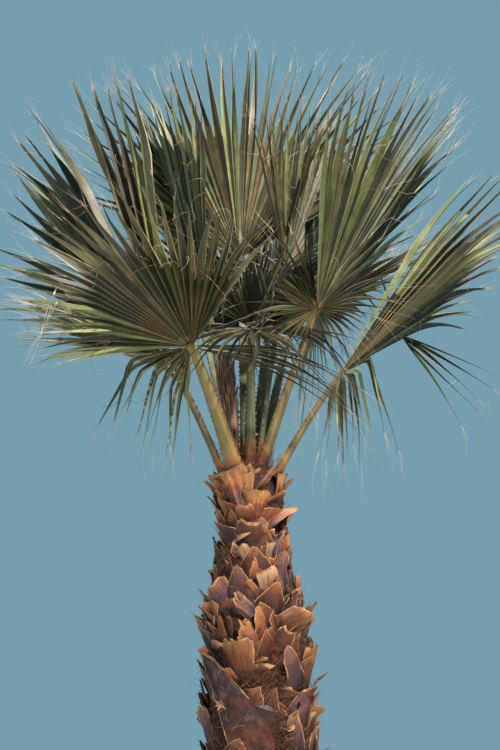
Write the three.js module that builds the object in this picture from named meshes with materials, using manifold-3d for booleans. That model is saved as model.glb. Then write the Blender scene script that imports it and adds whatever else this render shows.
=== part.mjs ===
// Desert fan palm, the whole young tree, in millimetres with +Z up.
// The origin is the centre of the flat cut under the trunk, at ground level.
// -Y is the front, +X the right of somebody who faces the tree.

import * as THREE from 'three';
import { mergeVertices } from 'three/addons/utils/BufferGeometryUtils.js';
import Module from 'manifold-3d';

const wasm = await Module();
wasm.setup();

// Trunk: a leaning core with a flare at the ground and a dome under the crown
const TRUNK_HEIGHT = 3330;
const TRUNK_LEAN_X = -160;
const CORE_RADIUS = 236;
const CORE_TOP_RADIUS = 136;
const CORE_TAPER_START = 2520;
const CORE_TAPER_END = 3000;
const FLARE = 115;
const FLARE_HEIGHT = 240;
const CORE_SIDES = 14;
const CORE_RINGS = 9;
const SHOULDER_HEIGHT = 3240;
const DOME_RADIUS = 75;
const DOME_DROP = 25;

// Boots: the split bases of old fronds, in a spiral, slanting left and right by turns
const BOOT_COUNT = 60;
const BOOT_LOWEST = 40;
const BOOT_HIGHEST = 3130;
const BOOT_THICKNESS = 30;
const BOOT_SLANT = 30;
const BOOT_LENGTH_LOW = 330;
const BOOT_LENGTH_HIGH = 215;
const BOOT_WIDTH_LOW = 250;
const BOOT_WIDTH_HIGH = 150;
const BOOT_TIP_SHARE = 0.42;
const BOOT_LIFT_LOW = 52;
const BOOT_LIFT_HIGH = 50;
const BOOT_ROOT_DEPTH = 12;
const GOLDEN_ANGLE = 137.508;
const FRONT_PLATE = { bearing: 352, height: 1960, slant: -34, length: 520, width: 300, lift: 58 };

// Leaf stalks
const STALK_FOOT_WIDTH = 88;
const STALK_END_WIDTH = 44;
const STALK_FOOT_THICKNESS = 42;
const STALK_END_THICKNESS = 24;
const STALK_STEPS = 5;
const STALK_BOW = 45;

// Blades
const BLADE_THICKNESS = 15;
const BLADE_START = 42;
const HALF_SHIFT = 5;
const LOBE_ANGLE = 17;
const NOTCH = 0.62;
const BLADE_RINGS = 3;
const PATH_STEPS = 10;
const SKIRT_ANGLE = 100;
const SKIRT_GAP_ANGLE = 1.5;
const LONGEST_HALF = 112;

// Clearance kept where one piece is cut round another
const CLEARANCE = 0.6;
const TIP_CLEARANCE = 4;

// Each frond: hub (end of its stalk), foot ring and height on the trunk, and its fan.
// bearing and rise give the midrib's way (0 is the front, 90 the right), roll turns the fan about it,
// left and right are the two spreads, droop the sag, fold the V of the two halves,
// basal how much shorter the hindmost segments are than the midrib, girth how stout the stalk is.
const FRONDS = {
  front_left: { hub: [-430, -450, 3830], ring: 128, foot: 3285, bearing: 329, rise: 36, roll: 0,
    radius: 940, left: 52, right: 150, droop: 0.27, fold: 8, basal: 0.12, girth: 1.0 },
  right: { hub: [180, -200, 4070], ring: 80, foot: 3320, bearing: 85, rise: 57, roll: -16,
    radius: 1270, left: 160, right: 46, droop: 0.32, fold: 14, basal: 0.72, girth: 0.78 },
  lower_right: { hub: [300, -150, 3770], ring: 140, foot: 3270, bearing: 82, rise: 46, roll: -16,
    radius: 1280, left: 128, right: 30, droop: 0.6, fold: 16, basal: 0.62, girth: 0.68 },
  left: { hub: [-550, -120, 3860], ring: 128, foot: 3280, bearing: 275, rise: 63, roll: 42,
    radius: 1470, left: 24, right: 62, droop: 0.35, fold: 12, basal: 0.7, girth: 0.6 },
  centre_back: { hub: [-200, 150, 4450], ring: 25, foot: 3335, bearing: 175, rise: 78, roll: 0,
    radius: 1300, left: 72, right: 66, droop: 0.08, fold: 12, basal: 0.8, girth: 0.7 },
  upper_left: { hub: [-370, 150, 4220], ring: 85, foot: 3320, bearing: 235, rise: 62, roll: 45,
    radius: 1150, left: 50, right: 64, droop: 0.15, fold: 12, basal: 0.5, girth: 0.7 },
  upper_right: { hub: [-40, 250, 4250], ring: 80, foot: 3325, bearing: 132, rise: 66, roll: -30,
    radius: 1010, left: 70, right: 60, droop: 0.12, fold: 12, basal: 0.5, girth: 0.7 },
  front: { hub: [-140, -170, 3990], ring: 80, foot: 3325, bearing: 45, rise: 55, roll: 0,
    radius: 500, left: 110, right: 80, droop: 0.9, fold: 12, basal: 0.3, girth: 0.65 },
  top_right: { hub: [30, 50, 4350], ring: 45, foot: 3330, bearing: 100, rise: 70, roll: -35,
    radius: 900, left: 60, right: 50, droop: 0.1, fold: 12, basal: 0.5, girth: 0.65 },
  back_left: { hub: [-390, 450, 4110], ring: 128, foot: 3285, bearing: 212, rise: 38, roll: 0,
    radius: 1000, left: 90, right: 80, droop: 0.25, fold: 14, basal: 0.45, girth: 0.7 },
  back_right: { hub: [60, 450, 4140], ring: 128, foot: 3290, bearing: 140, rise: 36, roll: 0,
    radius: 950, left: 70, right: 85, droop: 0.25, fold: 14, basal: 0.45, girth: 0.7 },
  back: { hub: [-150, 500, 4210], ring: 95, foot: 3310, bearing: 180, rise: 52, roll: 0,
    radius: 1000, left: 70, right: 70, droop: 0.2, fold: 14, basal: 0.45, girth: 0.7 },
  far_left: { hub: [-530, 250, 3850], ring: 140, foot: 3270, bearing: 245, rise: 26, roll: 0,
    radius: 900, left: 80, right: 62, droop: 0.5, fold: 14, basal: 0.45, girth: 0.6 },
};

// Long segments of the lower right frond that hang from the middle of its blade
const DROOPING_SPRAY = { hub: [628, 158, 4032], bearing: 60, rise: -40, roll: 75,
  radius: 650, left: 17, right: 17, droop: 0.25, fold: 3, basal: 0.3 };

const UP = new THREE.Vector3(0, 0, 1);

function radians(degrees) {
  return THREE.MathUtils.degToRad(degrees);
}

// A way of length 1 with that bearing from the front and that rise above the level
function heading(bearing, rise) {
  const level = Math.cos(radians(rise));
  return new THREE.Vector3(
    Math.sin(radians(bearing)) * level,
    -Math.cos(radians(bearing)) * level,
    Math.sin(radians(rise)),
  );
}

function axisX(z) {
  return TRUNK_LEAN_X * z / TRUNK_HEIGHT;
}

function coreRadius(z) {
  const taper = THREE.MathUtils.smoothstep(z, CORE_TAPER_START, CORE_TAPER_END);
  const shaft = THREE.MathUtils.lerp(CORE_RADIUS, CORE_TOP_RADIUS, taper);
  return shaft + FLARE * Math.exp(-z / FLARE_HEIGHT);
}

// The geometry's points, each moved by place(point), as a closed body with merged corners
function reshaped(geometry, place) {
  geometry.deleteAttribute('normal');
  geometry.deleteAttribute('uv');
  const merged = mergeVertices(geometry, 1e-5);
  const points = merged.getAttribute('position');
  const point = new THREE.Vector3();
  for (let i = 0; i < points.count; i += 1) {
    point.fromBufferAttribute(points, i);
    const moved = place(point);
    points.setXYZ(i, moved.x, moved.y, moved.z);
  }
  return merged;
}

function signedVolume(corners, triangles) {
  let total = 0;
  const a = new THREE.Vector3();
  const b = new THREE.Vector3();
  const c = new THREE.Vector3();
  for (let i = 0; i < triangles.length; i += 3) {
    a.fromArray(corners, 3 * triangles[i]);
    b.fromArray(corners, 3 * triangles[i + 1]);
    c.fromArray(corners, 3 * triangles[i + 2]);
    total += a.dot(b.cross(c));
  }
  return total;
}

function toSolid(geometry) {
  const vertProperties = new Float32Array(geometry.getAttribute('position').array);
  const triVerts = new Uint32Array(geometry.index.array);
  if (signedVolume(vertProperties, triVerts) < 0) {
    for (let i = 0; i < triVerts.length; i += 3) {
      [triVerts[i + 1], triVerts[i + 2]] = [triVerts[i + 2], triVerts[i + 1]];
    }
  }
  return new wasm.Manifold(new wasm.Mesh({ numProp: 3, vertProperties, triVerts }));
}

function toGeometry(solid) {
  const mesh = solid.getMesh();
  const geometry = new THREE.BufferGeometry();
  geometry.setAttribute('position', new THREE.BufferAttribute(new Float32Array(mesh.vertProperties), 3));
  geometry.setIndex(new THREE.BufferAttribute(new Uint32Array(mesh.triVerts), 1));
  geometry.computeVertexNormals();
  return geometry;
}

// What is left of a solid when its neighbours' room is taken out, without the loose crumbs
function clearOf(solid, neighbours) {
  let left = solid;
  for (const neighbour of neighbours) {
    left = left.subtract(neighbour);
  }
  const bodies = left.decompose();
  return bodies.reduce((best, body) => (body.volume() > best.volume() ? body : best));
}

function trunkCore(grow) {
  const profile = [new THREE.Vector2(0, 0)];
  for (let i = 0; i <= CORE_RINGS; i += 1) {
    const share = i / CORE_RINGS;
    const z = SHOULDER_HEIGHT * share ** 1.2;
    profile.push(new THREE.Vector2(coreRadius(z) + grow, z));
  }
  profile.push(new THREE.Vector2(DOME_RADIUS + grow, TRUNK_HEIGHT - DOME_DROP + grow));
  profile.push(new THREE.Vector2(0, TRUNK_HEIGHT + grow));
  const lathe = new THREE.LatheGeometry(profile, CORE_SIDES);
  return toSolid(reshaped(lathe, (p) => new THREE.Vector3(p.x + axisX(p.y), -p.z, p.y)));
}

// One split base: wide and sunk in the core below, narrower and standing off it at its cut top
function boot(shape, grow) {
  const block = new THREE.BoxGeometry(1, 1, 1, 2, 1, 1);
  return toSolid(reshaped(block, (p) => {
    const along = p.y + 0.5;
    const rise = along * shape.length + (p.y * 2) * grow;
    const width = shape.width * THREE.MathUtils.lerp(1, BOOT_TIP_SHARE, along ** 1.3) + 2 * grow;
    const z = Math.max(0, shape.height + rise * Math.cos(radians(shape.slant)));
    const base = coreRadius(z);
    const lift = shape.lift * along ** 1.5;
    const out = base - BOOT_ROOT_DEPTH * (1 - along) + lift + p.z * (BOOT_THICKNESS + 2 * grow);
    const sideways = rise * Math.sin(radians(shape.slant)) + p.x * width;
    const turn = radians(shape.bearing) + sideways / (base + lift);
    return new THREE.Vector3(axisX(z) + out * Math.sin(turn), -out * Math.cos(turn), z);
  }));
}

function bootShapes() {
  const shapes = [FRONT_PLATE];
  for (let i = 0; i < BOOT_COUNT; i += 1) {
    const share = i / (BOOT_COUNT - 1);
    shapes.push({
      bearing: i * GOLDEN_ANGLE,
      height: THREE.MathUtils.lerp(BOOT_LOWEST, BOOT_HIGHEST, share),
      slant: i % 2 === 0 ? BOOT_SLANT : -BOOT_SLANT,
      length: THREE.MathUtils.lerp(BOOT_LENGTH_LOW, BOOT_LENGTH_HIGH, share),
      width: THREE.MathUtils.lerp(BOOT_WIDTH_LOW, BOOT_WIDTH_HIGH, share),
      lift: THREE.MathUtils.lerp(BOOT_LIFT_LOW, BOOT_LIFT_HIGH, share),
    });
  }
  return shapes;
}

function trunk(grow) {
  return bootShapes().reduce((body, shape) => body.add(boot(shape, grow)), trunkCore(grow));
}

function stalkFoot(frond) {
  const bearing = Math.atan2(frond.hub[0] - TRUNK_LEAN_X, -frond.hub[1]);
  return new THREE.Vector3(
    axisX(frond.foot) + frond.ring * Math.sin(bearing),
    -frond.ring * Math.cos(bearing),
    frond.foot,
  );
}

// A tapering limb with a flat upper side and a rounded back
function stalk(frond, grow) {
  const hub = new THREE.Vector3(...frond.hub);
  const foot = stalkFoot(frond);
  const middle = foot.clone().lerp(hub, 0.5).addScaledVector(UP, STALK_BOW);
  const path = new THREE.QuadraticBezierCurve3(foot, middle, hub);
  const section = new THREE.Shape();
  section.moveTo(-0.5, 0.3);
  section.lineTo(-0.32, -0.35);
  section.lineTo(0, -0.5);
  section.lineTo(0.32, -0.35);
  section.lineTo(0.5, 0.3);
  section.lineTo(0, 0.22);
  const bar = new THREE.ExtrudeGeometry(section, { depth: 1, steps: STALK_STEPS, bevelEnabled: false });
  return toSolid(reshaped(bar, (p) => {
    const way = path.getTangent(p.z);
    const side = new THREE.Vector3().crossVectors(way, UP).normalize();
    const upper = new THREE.Vector3().crossVectors(side, way);
    const width = frond.girth * THREE.MathUtils.lerp(STALK_FOOT_WIDTH, STALK_END_WIDTH, p.z) + 2 * grow;
    const depth = THREE.MathUtils.lerp(STALK_FOOT_THICKNESS, STALK_END_THICKNESS, p.z);
    const thickness = frond.girth * depth + 2 * grow;
    return path.getPoint(p.z)
      .addScaledVector(side, p.x * width)
      .addScaledVector(upper, p.y * thickness)
      .addScaledVector(way, (p.z * 2 - 1) * grow);
  }));
}

function fanAxes(frond) {
  const midrib = heading(frond.bearing, frond.rise);
  const level = heading(frond.bearing - 90, 0);
  const upright = new THREE.Vector3().crossVectors(level, midrib);
  const normal = upright.multiplyScalar(Math.cos(radians(frond.roll)));
  normal.addScaledVector(level, Math.sin(radians(frond.roll)));
  const side = new THREE.Vector3().crossVectors(midrib, normal);
  return { midrib, normal, side };
}

// The point at a share of the length of the segment that leaves the hub at that angle
function segmentPoint(frond, angle, share) {
  const { midrib, normal, side } = fanAxes(frond);
  const turn = radians(angle);
  const hand = Math.sign(angle);
  const across = side.clone().multiplyScalar(hand * Math.cos(radians(frond.fold)));
  across.addScaledVector(normal, Math.sin(radians(frond.fold)));
  const way = midrib.multiplyScalar(Math.cos(turn)).addScaledVector(across, Math.abs(Math.sin(turn)));
  way.normalize();
  const length = frond.radius * (1 - frond.basal * (1 - Math.cos(turn)) / 2);
  const limp = frond.droop * (0.3 + 0.9 * (1 - Math.cos(turn)));
  const point = new THREE.Vector3(...frond.hub).addScaledVector(side, hand * HALF_SHIFT);
  for (let i = 0; i < PATH_STEPS; i += 1) {
    const here = share * (i + 0.5) / PATH_STEPS;
    const step = way.clone().addScaledVector(UP, -limp * here ** 2).normalize();
    point.addScaledVector(step, share * length / PATH_STEPS);
  }
  return point;
}

function bladeNormal(frond, angle, share) {
  const smallShare = 0.01;
  const smallAngle = 1;
  const inner = segmentPoint(frond, angle, share - smallShare);
  const outer = segmentPoint(frond, angle, share + smallShare);
  const near = segmentPoint(frond, angle - smallAngle, share);
  const far = segmentPoint(frond, angle + smallAngle, share);
  return outer.sub(inner).cross(far.sub(near)).normalize();
}

// A thin leaf fan between two angles: pointed lobes, joined as far as the notches
function blade(frond, from, to, grow) {
  const lobes = Math.max(2, Math.round(Math.abs(to - from) / LOBE_ANGLE));
  const columns = 2 * lobes;
  const sheet = new THREE.BoxGeometry(1, 1, 1, columns, BLADE_RINGS, 1);
  return toSolid(reshaped(sheet, (p) => {
    const column = Math.round((p.x + 0.5) * columns);
    const ring = Math.round((p.y + 0.5) * BLADE_RINGS);
    const angle = THREE.MathUtils.lerp(from, to, column / columns);
    const length = frond.radius * (1 - frond.basal * (1 - Math.cos(radians(angle))) / 2);
    const reach = (column % 2 === 1 ? 1 : NOTCH) + grow * TIP_CLEARANCE / length;
    const start = (BLADE_START - grow) / length;
    const share = THREE.MathUtils.lerp(start, reach, ring / BLADE_RINGS);
    const thickness = BLADE_THICKNESS * (ring === BLADE_RINGS ? 0.6 : 1) + 2 * grow;
    const point = segmentPoint(frond, angle, share);
    point.addScaledVector(bladeNormal(frond, angle, share), p.z * thickness);
    if (grow > 0 && (column === 0 || column === columns)) {
      const inward = segmentPoint(frond, THREE.MathUtils.lerp(from, to, 0.5), share).sub(point).normalize();
      point.addScaledVector(inward, -2 * grow);
    }
    return point;
  }));
}

// The stretches of one side of a fan: the basal one that hangs is a piece of its own
function stretches(spread) {
  if (spread <= LONGEST_HALF) {
    return [['half', SKIRT_GAP_ANGLE, spread]];
  }
  return [
    ['half', SKIRT_GAP_ANGLE, SKIRT_ANGLE - SKIRT_GAP_ANGLE],
    ['skirt', SKIRT_ANGLE + SKIRT_GAP_ANGLE, spread],
  ];
}

const barkMaterial = () => new THREE.MeshStandardMaterial(
  { color: 0x8a6a54, roughness: 0.95, metalness: 0 },
);
const stalkMaterial = () => new THREE.MeshStandardMaterial(
  { color: 0x8f8a4a, roughness: 0.6, metalness: 0 },
);
const bladeMaterial = () => new THREE.MeshStandardMaterial(
  { color: 0x5f6b3c, roughness: 0.65, metalness: 0 },
);

const tree = new THREE.Group();

function addPiece(name, solid, material) {
  const mesh = new THREE.Mesh(toGeometry(solid), material);
  mesh.name = name;
  tree.add(mesh);
}

const taken = [trunk(CLEARANCE)];
addPiece('trunk', trunk(0), barkMaterial());

for (const [name, frond] of Object.entries(FRONDS)) {
  addPiece(`${name}_stalk`, clearOf(stalk(frond, 0), taken), stalkMaterial());
  taken.push(stalk(frond, CLEARANCE));
}

for (const [name, frond] of Object.entries(FRONDS)) {
  for (const [hand, sign, spread] of [['left', -1, frond.left], ['right', 1, frond.right]]) {
    for (const [kind, from, to] of stretches(spread)) {
      const whole = blade(frond, sign * from, sign * to, 0);
      const kept = clearOf(whole, taken);
      addPiece(`${name}_${hand}_${kind}`, kept, bladeMaterial());
      taken.push(blade(frond, sign * from, sign * to, CLEARANCE));
    }
  }
}

const { left, right } = DROOPING_SPRAY;
const spray = clearOf(blade(DROOPING_SPRAY, -left, right, 0), taken);
addPiece('lower_right_drooping_spray', spray, bladeMaterial());

export default tree;
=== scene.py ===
# Desert fan palm: the looks of every piece, in metres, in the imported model's frame.
# The trunk's foot is at the origin. Bearings are in degrees from the front, -Y, towards the right, +X.
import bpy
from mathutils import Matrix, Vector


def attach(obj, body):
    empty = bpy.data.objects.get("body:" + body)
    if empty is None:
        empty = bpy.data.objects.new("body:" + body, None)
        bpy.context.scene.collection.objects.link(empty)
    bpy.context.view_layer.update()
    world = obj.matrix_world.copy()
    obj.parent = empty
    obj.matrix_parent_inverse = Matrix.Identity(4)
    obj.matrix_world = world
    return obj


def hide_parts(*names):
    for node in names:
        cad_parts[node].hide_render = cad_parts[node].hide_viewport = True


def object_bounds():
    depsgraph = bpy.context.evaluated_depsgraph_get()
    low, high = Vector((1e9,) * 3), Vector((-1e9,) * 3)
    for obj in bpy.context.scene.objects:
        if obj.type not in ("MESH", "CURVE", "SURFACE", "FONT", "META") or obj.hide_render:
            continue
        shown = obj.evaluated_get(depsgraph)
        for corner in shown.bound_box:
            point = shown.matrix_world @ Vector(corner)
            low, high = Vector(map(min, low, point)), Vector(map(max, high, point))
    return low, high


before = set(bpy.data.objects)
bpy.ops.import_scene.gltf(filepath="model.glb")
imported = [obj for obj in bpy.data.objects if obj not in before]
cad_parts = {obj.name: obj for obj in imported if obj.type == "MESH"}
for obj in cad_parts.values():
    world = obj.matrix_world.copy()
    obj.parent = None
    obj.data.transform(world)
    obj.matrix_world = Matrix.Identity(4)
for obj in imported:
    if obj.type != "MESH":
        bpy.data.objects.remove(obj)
cad_box = [list(corner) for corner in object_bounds()]

import math
import random

import bpy
import numpy as np
from mathutils import Vector, noise

BODY = "root"
UP = np.array([0.0, 0.0, 1.0])
GOLDEN_ANGLE = 137.508

# Each piece that is dealt out by chance has its own seed
SEEDS = {
    "front plates": 41, "fresh plates": 43, "spiral plates": 47, "trunk fibres": 53, "heart": 59,
    "mats": 61, "splinters": 67, "sheath": 71, "long threads": 97, "fronds": 100, "spray": 190,
    "rosette": 191, "crossing bunch": 192, "tangled bunch": 193, "stalks": 300,
}

# Edges that turn by more than this many degrees stay sharp
SHARP = {"leaf": 20, "plate": 35, "stalk": 40, "tooth": 50, "thread": 60, "core": 60}

# View and light
CAMERA_PLACE = (-0.15, -9.5, 1.6)
CAMERA_PITCH = 103
CAMERA_LENS = 93.6
CAMERA_SENSOR = 36
SKY_TINT = (0.42, 0.78, 0.96)
SKY_STRENGTH = 0.44
FLOOR_SIZE = 60
FLOOR_TINT = (0.72, 0.72, 0.70)
FLOOR_ROUGHNESS = 0.9
LIGHTS = {
    "key": dict(place=(4.2, -9.4, 13.2), aim=(0, 0, 3.4), size=0.9, power=4700, tint=(1.0, 0.95, 0.86)),
    "fill": dict(place=(-8.0, -7.0, 5.0), aim=(0, 0, 3.2), size=5.0, power=60, tint=(0.94, 0.96, 1.0)),
    "rim": dict(place=(-3.5, 6.5, 11.5), aim=(0, 0, 4.3), size=2.4, power=430, tint=(1.0, 0.97, 0.9)),
}

# Trunk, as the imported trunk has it
TRUNK_HEIGHT = 3.33
TRUNK_LEAN = -0.16
CORE_RADIUS = 0.236
CORE_TOP_RADIUS = 0.136
CORE_TAPER = (2.52, 3.0)
FLARE = 0.115
FLARE_HEIGHT = 0.24

# Fan blades and stalks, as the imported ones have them
STALK_BOW = 0.045
STALK_WIDTHS = (0.088, 0.044)
STALK_THICKNESSES = (0.042, 0.024)
HALF_SHIFT = 0.005
SKIRT_ANGLE = 100
LONGEST_HALF = 112

# hub: middle of the fan. ring, foot: where the stalk leaves the trunk, from its axis and from the ground.
# bearing, rise, roll: how the fan is turned. radius: its longest segment. left, right: how far it spreads
# from its midrib. droop: how limp it is. fold: how far its halves fold up. basal: how much shorter its
# outermost segments are. girth: how stout its stalk is.
FRONDS = {
    "front_left": dict(hub=(-0.430, -0.450, 3.830), ring=0.128, foot=3.285, bearing=329, rise=36, roll=0,
                       radius=0.940, left=52, right=150, droop=0.27, fold=8, basal=0.12, girth=1.0),
    "right": dict(hub=(0.180, -0.200, 4.070), ring=0.080, foot=3.320, bearing=85, rise=57, roll=-16,
                  radius=1.270, left=160, right=46, droop=0.32, fold=14, basal=0.72, girth=0.78),
    "lower_right": dict(hub=(0.300, -0.150, 3.770), ring=0.140, foot=3.270, bearing=82, rise=46, roll=-16,
                        radius=1.280, left=128, right=30, droop=0.6, fold=16, basal=0.62, girth=0.68),
    "left": dict(hub=(-0.550, -0.120, 3.860), ring=0.128, foot=3.280, bearing=275, rise=63, roll=42,
                 radius=1.470, left=24, right=62, droop=0.35, fold=12, basal=0.7, girth=0.6),
    "centre_back": dict(hub=(-0.200, 0.150, 4.450), ring=0.025, foot=3.335, bearing=175, rise=78, roll=0,
                        radius=1.300, left=72, right=66, droop=0.08, fold=12, basal=0.8, girth=0.7),
    "upper_left": dict(hub=(-0.370, 0.150, 4.220), ring=0.085, foot=3.320, bearing=235, rise=62, roll=45,
                       radius=1.150, left=50, right=64, droop=0.15, fold=12, basal=0.5, girth=0.7),
    "upper_right": dict(hub=(-0.040, 0.250, 4.250), ring=0.080, foot=3.325, bearing=132, rise=66, roll=-30,
                        radius=1.010, left=70, right=60, droop=0.12, fold=12, basal=0.5, girth=0.7),
    "front": dict(hub=(-0.140, -0.170, 3.990), ring=0.080, foot=3.325, bearing=45, rise=55, roll=0,
                  radius=0.500, left=110, right=80, droop=0.9, fold=12, basal=0.3, girth=0.65),
    "top_right": dict(hub=(0.030, 0.050, 4.350), ring=0.045, foot=3.330, bearing=100, rise=70, roll=-35,
                      radius=0.900, left=60, right=50, droop=0.1, fold=12, basal=0.5, girth=0.65),
    "back_left": dict(hub=(-0.390, 0.450, 4.110), ring=0.128, foot=3.285, bearing=212, rise=38, roll=0,
                      radius=1.000, left=90, right=80, droop=0.25, fold=14, basal=0.45, girth=0.7),
    "back_right": dict(hub=(0.060, 0.450, 4.140), ring=0.128, foot=3.290, bearing=140, rise=36, roll=0,
                       radius=0.950, left=70, right=85, droop=0.25, fold=14, basal=0.45, girth=0.7),
    "back": dict(hub=(-0.150, 0.500, 4.210), ring=0.095, foot=3.310, bearing=180, rise=52, roll=0,
                 radius=1.000, left=70, right=70, droop=0.2, fold=14, basal=0.45, girth=0.7),
    "far_left": dict(hub=(-0.530, 0.250, 3.850), ring=0.140, foot=3.270, bearing=245, rise=26, roll=0,
                     radius=0.900, left=80, right=62, droop=0.5, fold=14, basal=0.45, girth=0.6),
}
DROOPING_SPRAY = dict(hub=(0.628, 0.158, 4.032), bearing=60, rise=-40, roll=75, radius=0.650, left=17,
                      right=17, droop=0.25, fold=3, basal=0.3)


# Small helpers for shapes

def unit(vector):
    return vector / np.linalg.norm(vector)


def unit_rows(vectors):
    return vectors / np.linalg.norm(vectors, axis=1)[:, None]


def smooth_step(value, low, high):
    t = np.clip((value - low) / (high - low), 0.0, 1.0)
    return t * t * (3 - 2 * t)


def mix(low, high, share):
    return low + (high - low) * share


def scatter(spread, rng):
    """A random vector: three bell-shaped draws round zero."""
    return np.array([rng.gauss(0, spread) for _ in range(3)])


def heading(bearing, rise):
    b, e = math.radians(bearing), math.radians(rise)
    return np.array([math.sin(b) * math.cos(e), -math.cos(b) * math.cos(e), math.sin(e)])


def axis_x(height):
    return TRUNK_LEAN * height / TRUNK_HEIGHT


def beside_axis(turn, radius, height):
    """The point at a radius from the trunk's leaning axis. turn is its bearing in radians."""
    return np.array([axis_x(height) + radius * math.sin(turn), -radius * math.cos(turn), height])


def core_radius(height):
    taper = mix(CORE_RADIUS, CORE_TOP_RADIUS, smooth_step(height, *CORE_TAPER))
    return taper + FLARE * np.exp(-np.maximum(height, 0) / FLARE_HEIGHT)


PLATE_STAND = 0.03
LOWEST_PLATE_POINT = 0.002
INNERMOST_RADIUS = 0.02


def on_trunk(across, up, out, bearing, height, slant=0):
    """Puts flat patch points on the round trunk: across and up on its skin, out from it."""
    turn = math.radians(slant)
    side = across * math.cos(turn) + up * math.sin(turn)
    level = height + up * math.cos(turn) - across * math.sin(turn)
    level = np.maximum(level, LOWEST_PLATE_POINT)
    radius = core_radius(level)
    angle = math.radians(bearing) + side / (radius + PLATE_STAND)
    radius = np.maximum(radius + out, INNERMOST_RADIUS)
    return np.stack([axis_x(level) + radius * np.sin(angle), -radius * np.cos(angle), level], axis=-1)


class Joined:
    """Collects many small shapes into one mesh, with a finish for each face and grain coordinates."""

    def __init__(self, finishes):
        self.finishes = list(finishes)
        self.points, self.grain, self.faces, self.skins, self.wear_and_shade = [], [], [], [], []
        self.count = 0

    def add(self, points, faces, skins, grain, wear_and_shade=None):
        """Wear and shade: 0 at a shape's sound foot, its own dark colour and painted shade, 1 at its worn
        tip.
        """
        self.points.append(points)
        self.wear_and_shade.append(np.full(len(points), 0.5) if wear_and_shade is None else wear_and_shade)
        self.grain.append(grain)
        self.faces.extend([[corner + self.count for corner in face] for face in faces])
        self.skins.extend(self.finishes.index(skin) for skin in skins)
        self.count += len(points)

    def add_net(self, net, skins, grain, closed=False):
        """A net of points, rows by columns. skins holds one finish for each row and column of faces."""
        rows, columns = net.shape[:2]
        faces, face_skins = [], []
        for row in range(rows - 1):
            for column in range(columns if closed else columns - 1):
                here = row * columns + column
                beside = row * columns + (column + 1) % columns
                faces.append([here, beside, beside + columns, here + columns])
                face_skins.append(skins[row][column])
        self.add(net.reshape(-1, 3), faces, face_skins, grain.reshape(-1, 2))

    def build(self, name, slot, sharp, replaced=()):
        """Makes the piece. sharp: kind of edge. replaced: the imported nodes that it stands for."""
        mesh = bpy.data.meshes.new(name)
        mesh.from_pydata(np.concatenate(self.points).tolist(), [], self.faces)
        mesh.polygons.foreach_set("material_index", self.skins)
        layer = mesh.uv_layers.new(name="grain")
        corners = np.zeros(len(mesh.loops), dtype=np.int32)
        mesh.loops.foreach_get("vertex_index", corners)
        layer.data.foreach_set("uv", np.concatenate(self.grain)[corners].ravel())
        # Per point: wear, and the painted shade at each plate's foot.
        worn = mesh.attributes.new("wear_and_shade", "FLOAT", "POINT")
        worn.data.foreach_set("value", np.concatenate(self.wear_and_shade).astype(np.float32))
        for finish in self.finishes:
            mesh.materials.append(FINISHES[finish])
        mesh.update()
        piece = bpy.data.objects.new(name, mesh)
        bpy.context.scene.collection.objects.link(piece)
        finish_piece(piece, sharp, replaced)


def deselect_all():
    bpy.ops.object.select_all(action="DESELECT")


def finish_piece(piece, sharp, replaced=()):
    deselect_all()
    piece.select_set(True)
    bpy.context.view_layer.objects.active = piece
    bpy.ops.object.shade_smooth_by_angle(angle=math.radians(SHARP[sharp]))
    deselect_all()
    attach(piece, BODY)
    if replaced:
        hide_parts(*replaced)


# Finishes. Their colours are given from 0 to 255.

# Leaf tints: the darkest and shade ones hold painted shade, the light and lit ones painted sunlight.
LEAF_TINTS = {
    "leaf_black": ((14, 13, 9), (34, 34, 24)),
    "leaf_shade": ((25, 24, 15), (54, 52, 35)),
    "leaf_olive": ((48, 42, 24), (114, 102, 64)),
    "leaf_green": ((50, 57, 26), (102, 108, 58)),
    "leaf_grey_green": ((56, 59, 38), (114, 114, 82)),
    "leaf_painted_light": ((90, 96, 54), (150, 152, 106)),
    "leaf_lit": ((108, 112, 68), (174, 174, 126)),
    "leaf_yellow": ((140, 108, 38), (190, 156, 66)),
    "leaf_dead": ((58, 44, 30), (116, 92, 66)),
}
LEAF_PLACES = (0.38, 0.5, 0.62)
LEAF_ROUGHNESS = 0.5

# The dark stalk tint is painted shade on the inner and back stalks.
STALK_TINTS = {
    "stalk_olive": ((80, 68, 32), (114, 98, 50), (148, 126, 74)),
    "stalk_painted_shade": ((46, 50, 34), (80, 82, 56), (120, 118, 84)),
    "stalk_brown": ((60, 49, 28), (102, 86, 52), (150, 132, 88)),
}
STALK_LOOKS = {
    "front_left": "stalk_olive",
    "left": "stalk_brown",
    "lower_right": "stalk_brown",
    "right": "stalk_brown",
}
# A stalk is warm and brown from its foot up, between these lengths along it
WARM_FOOT = (0.03, 0.16)
WARM_TINTS = ((116, 60, 26), (164, 108, 44))

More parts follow.
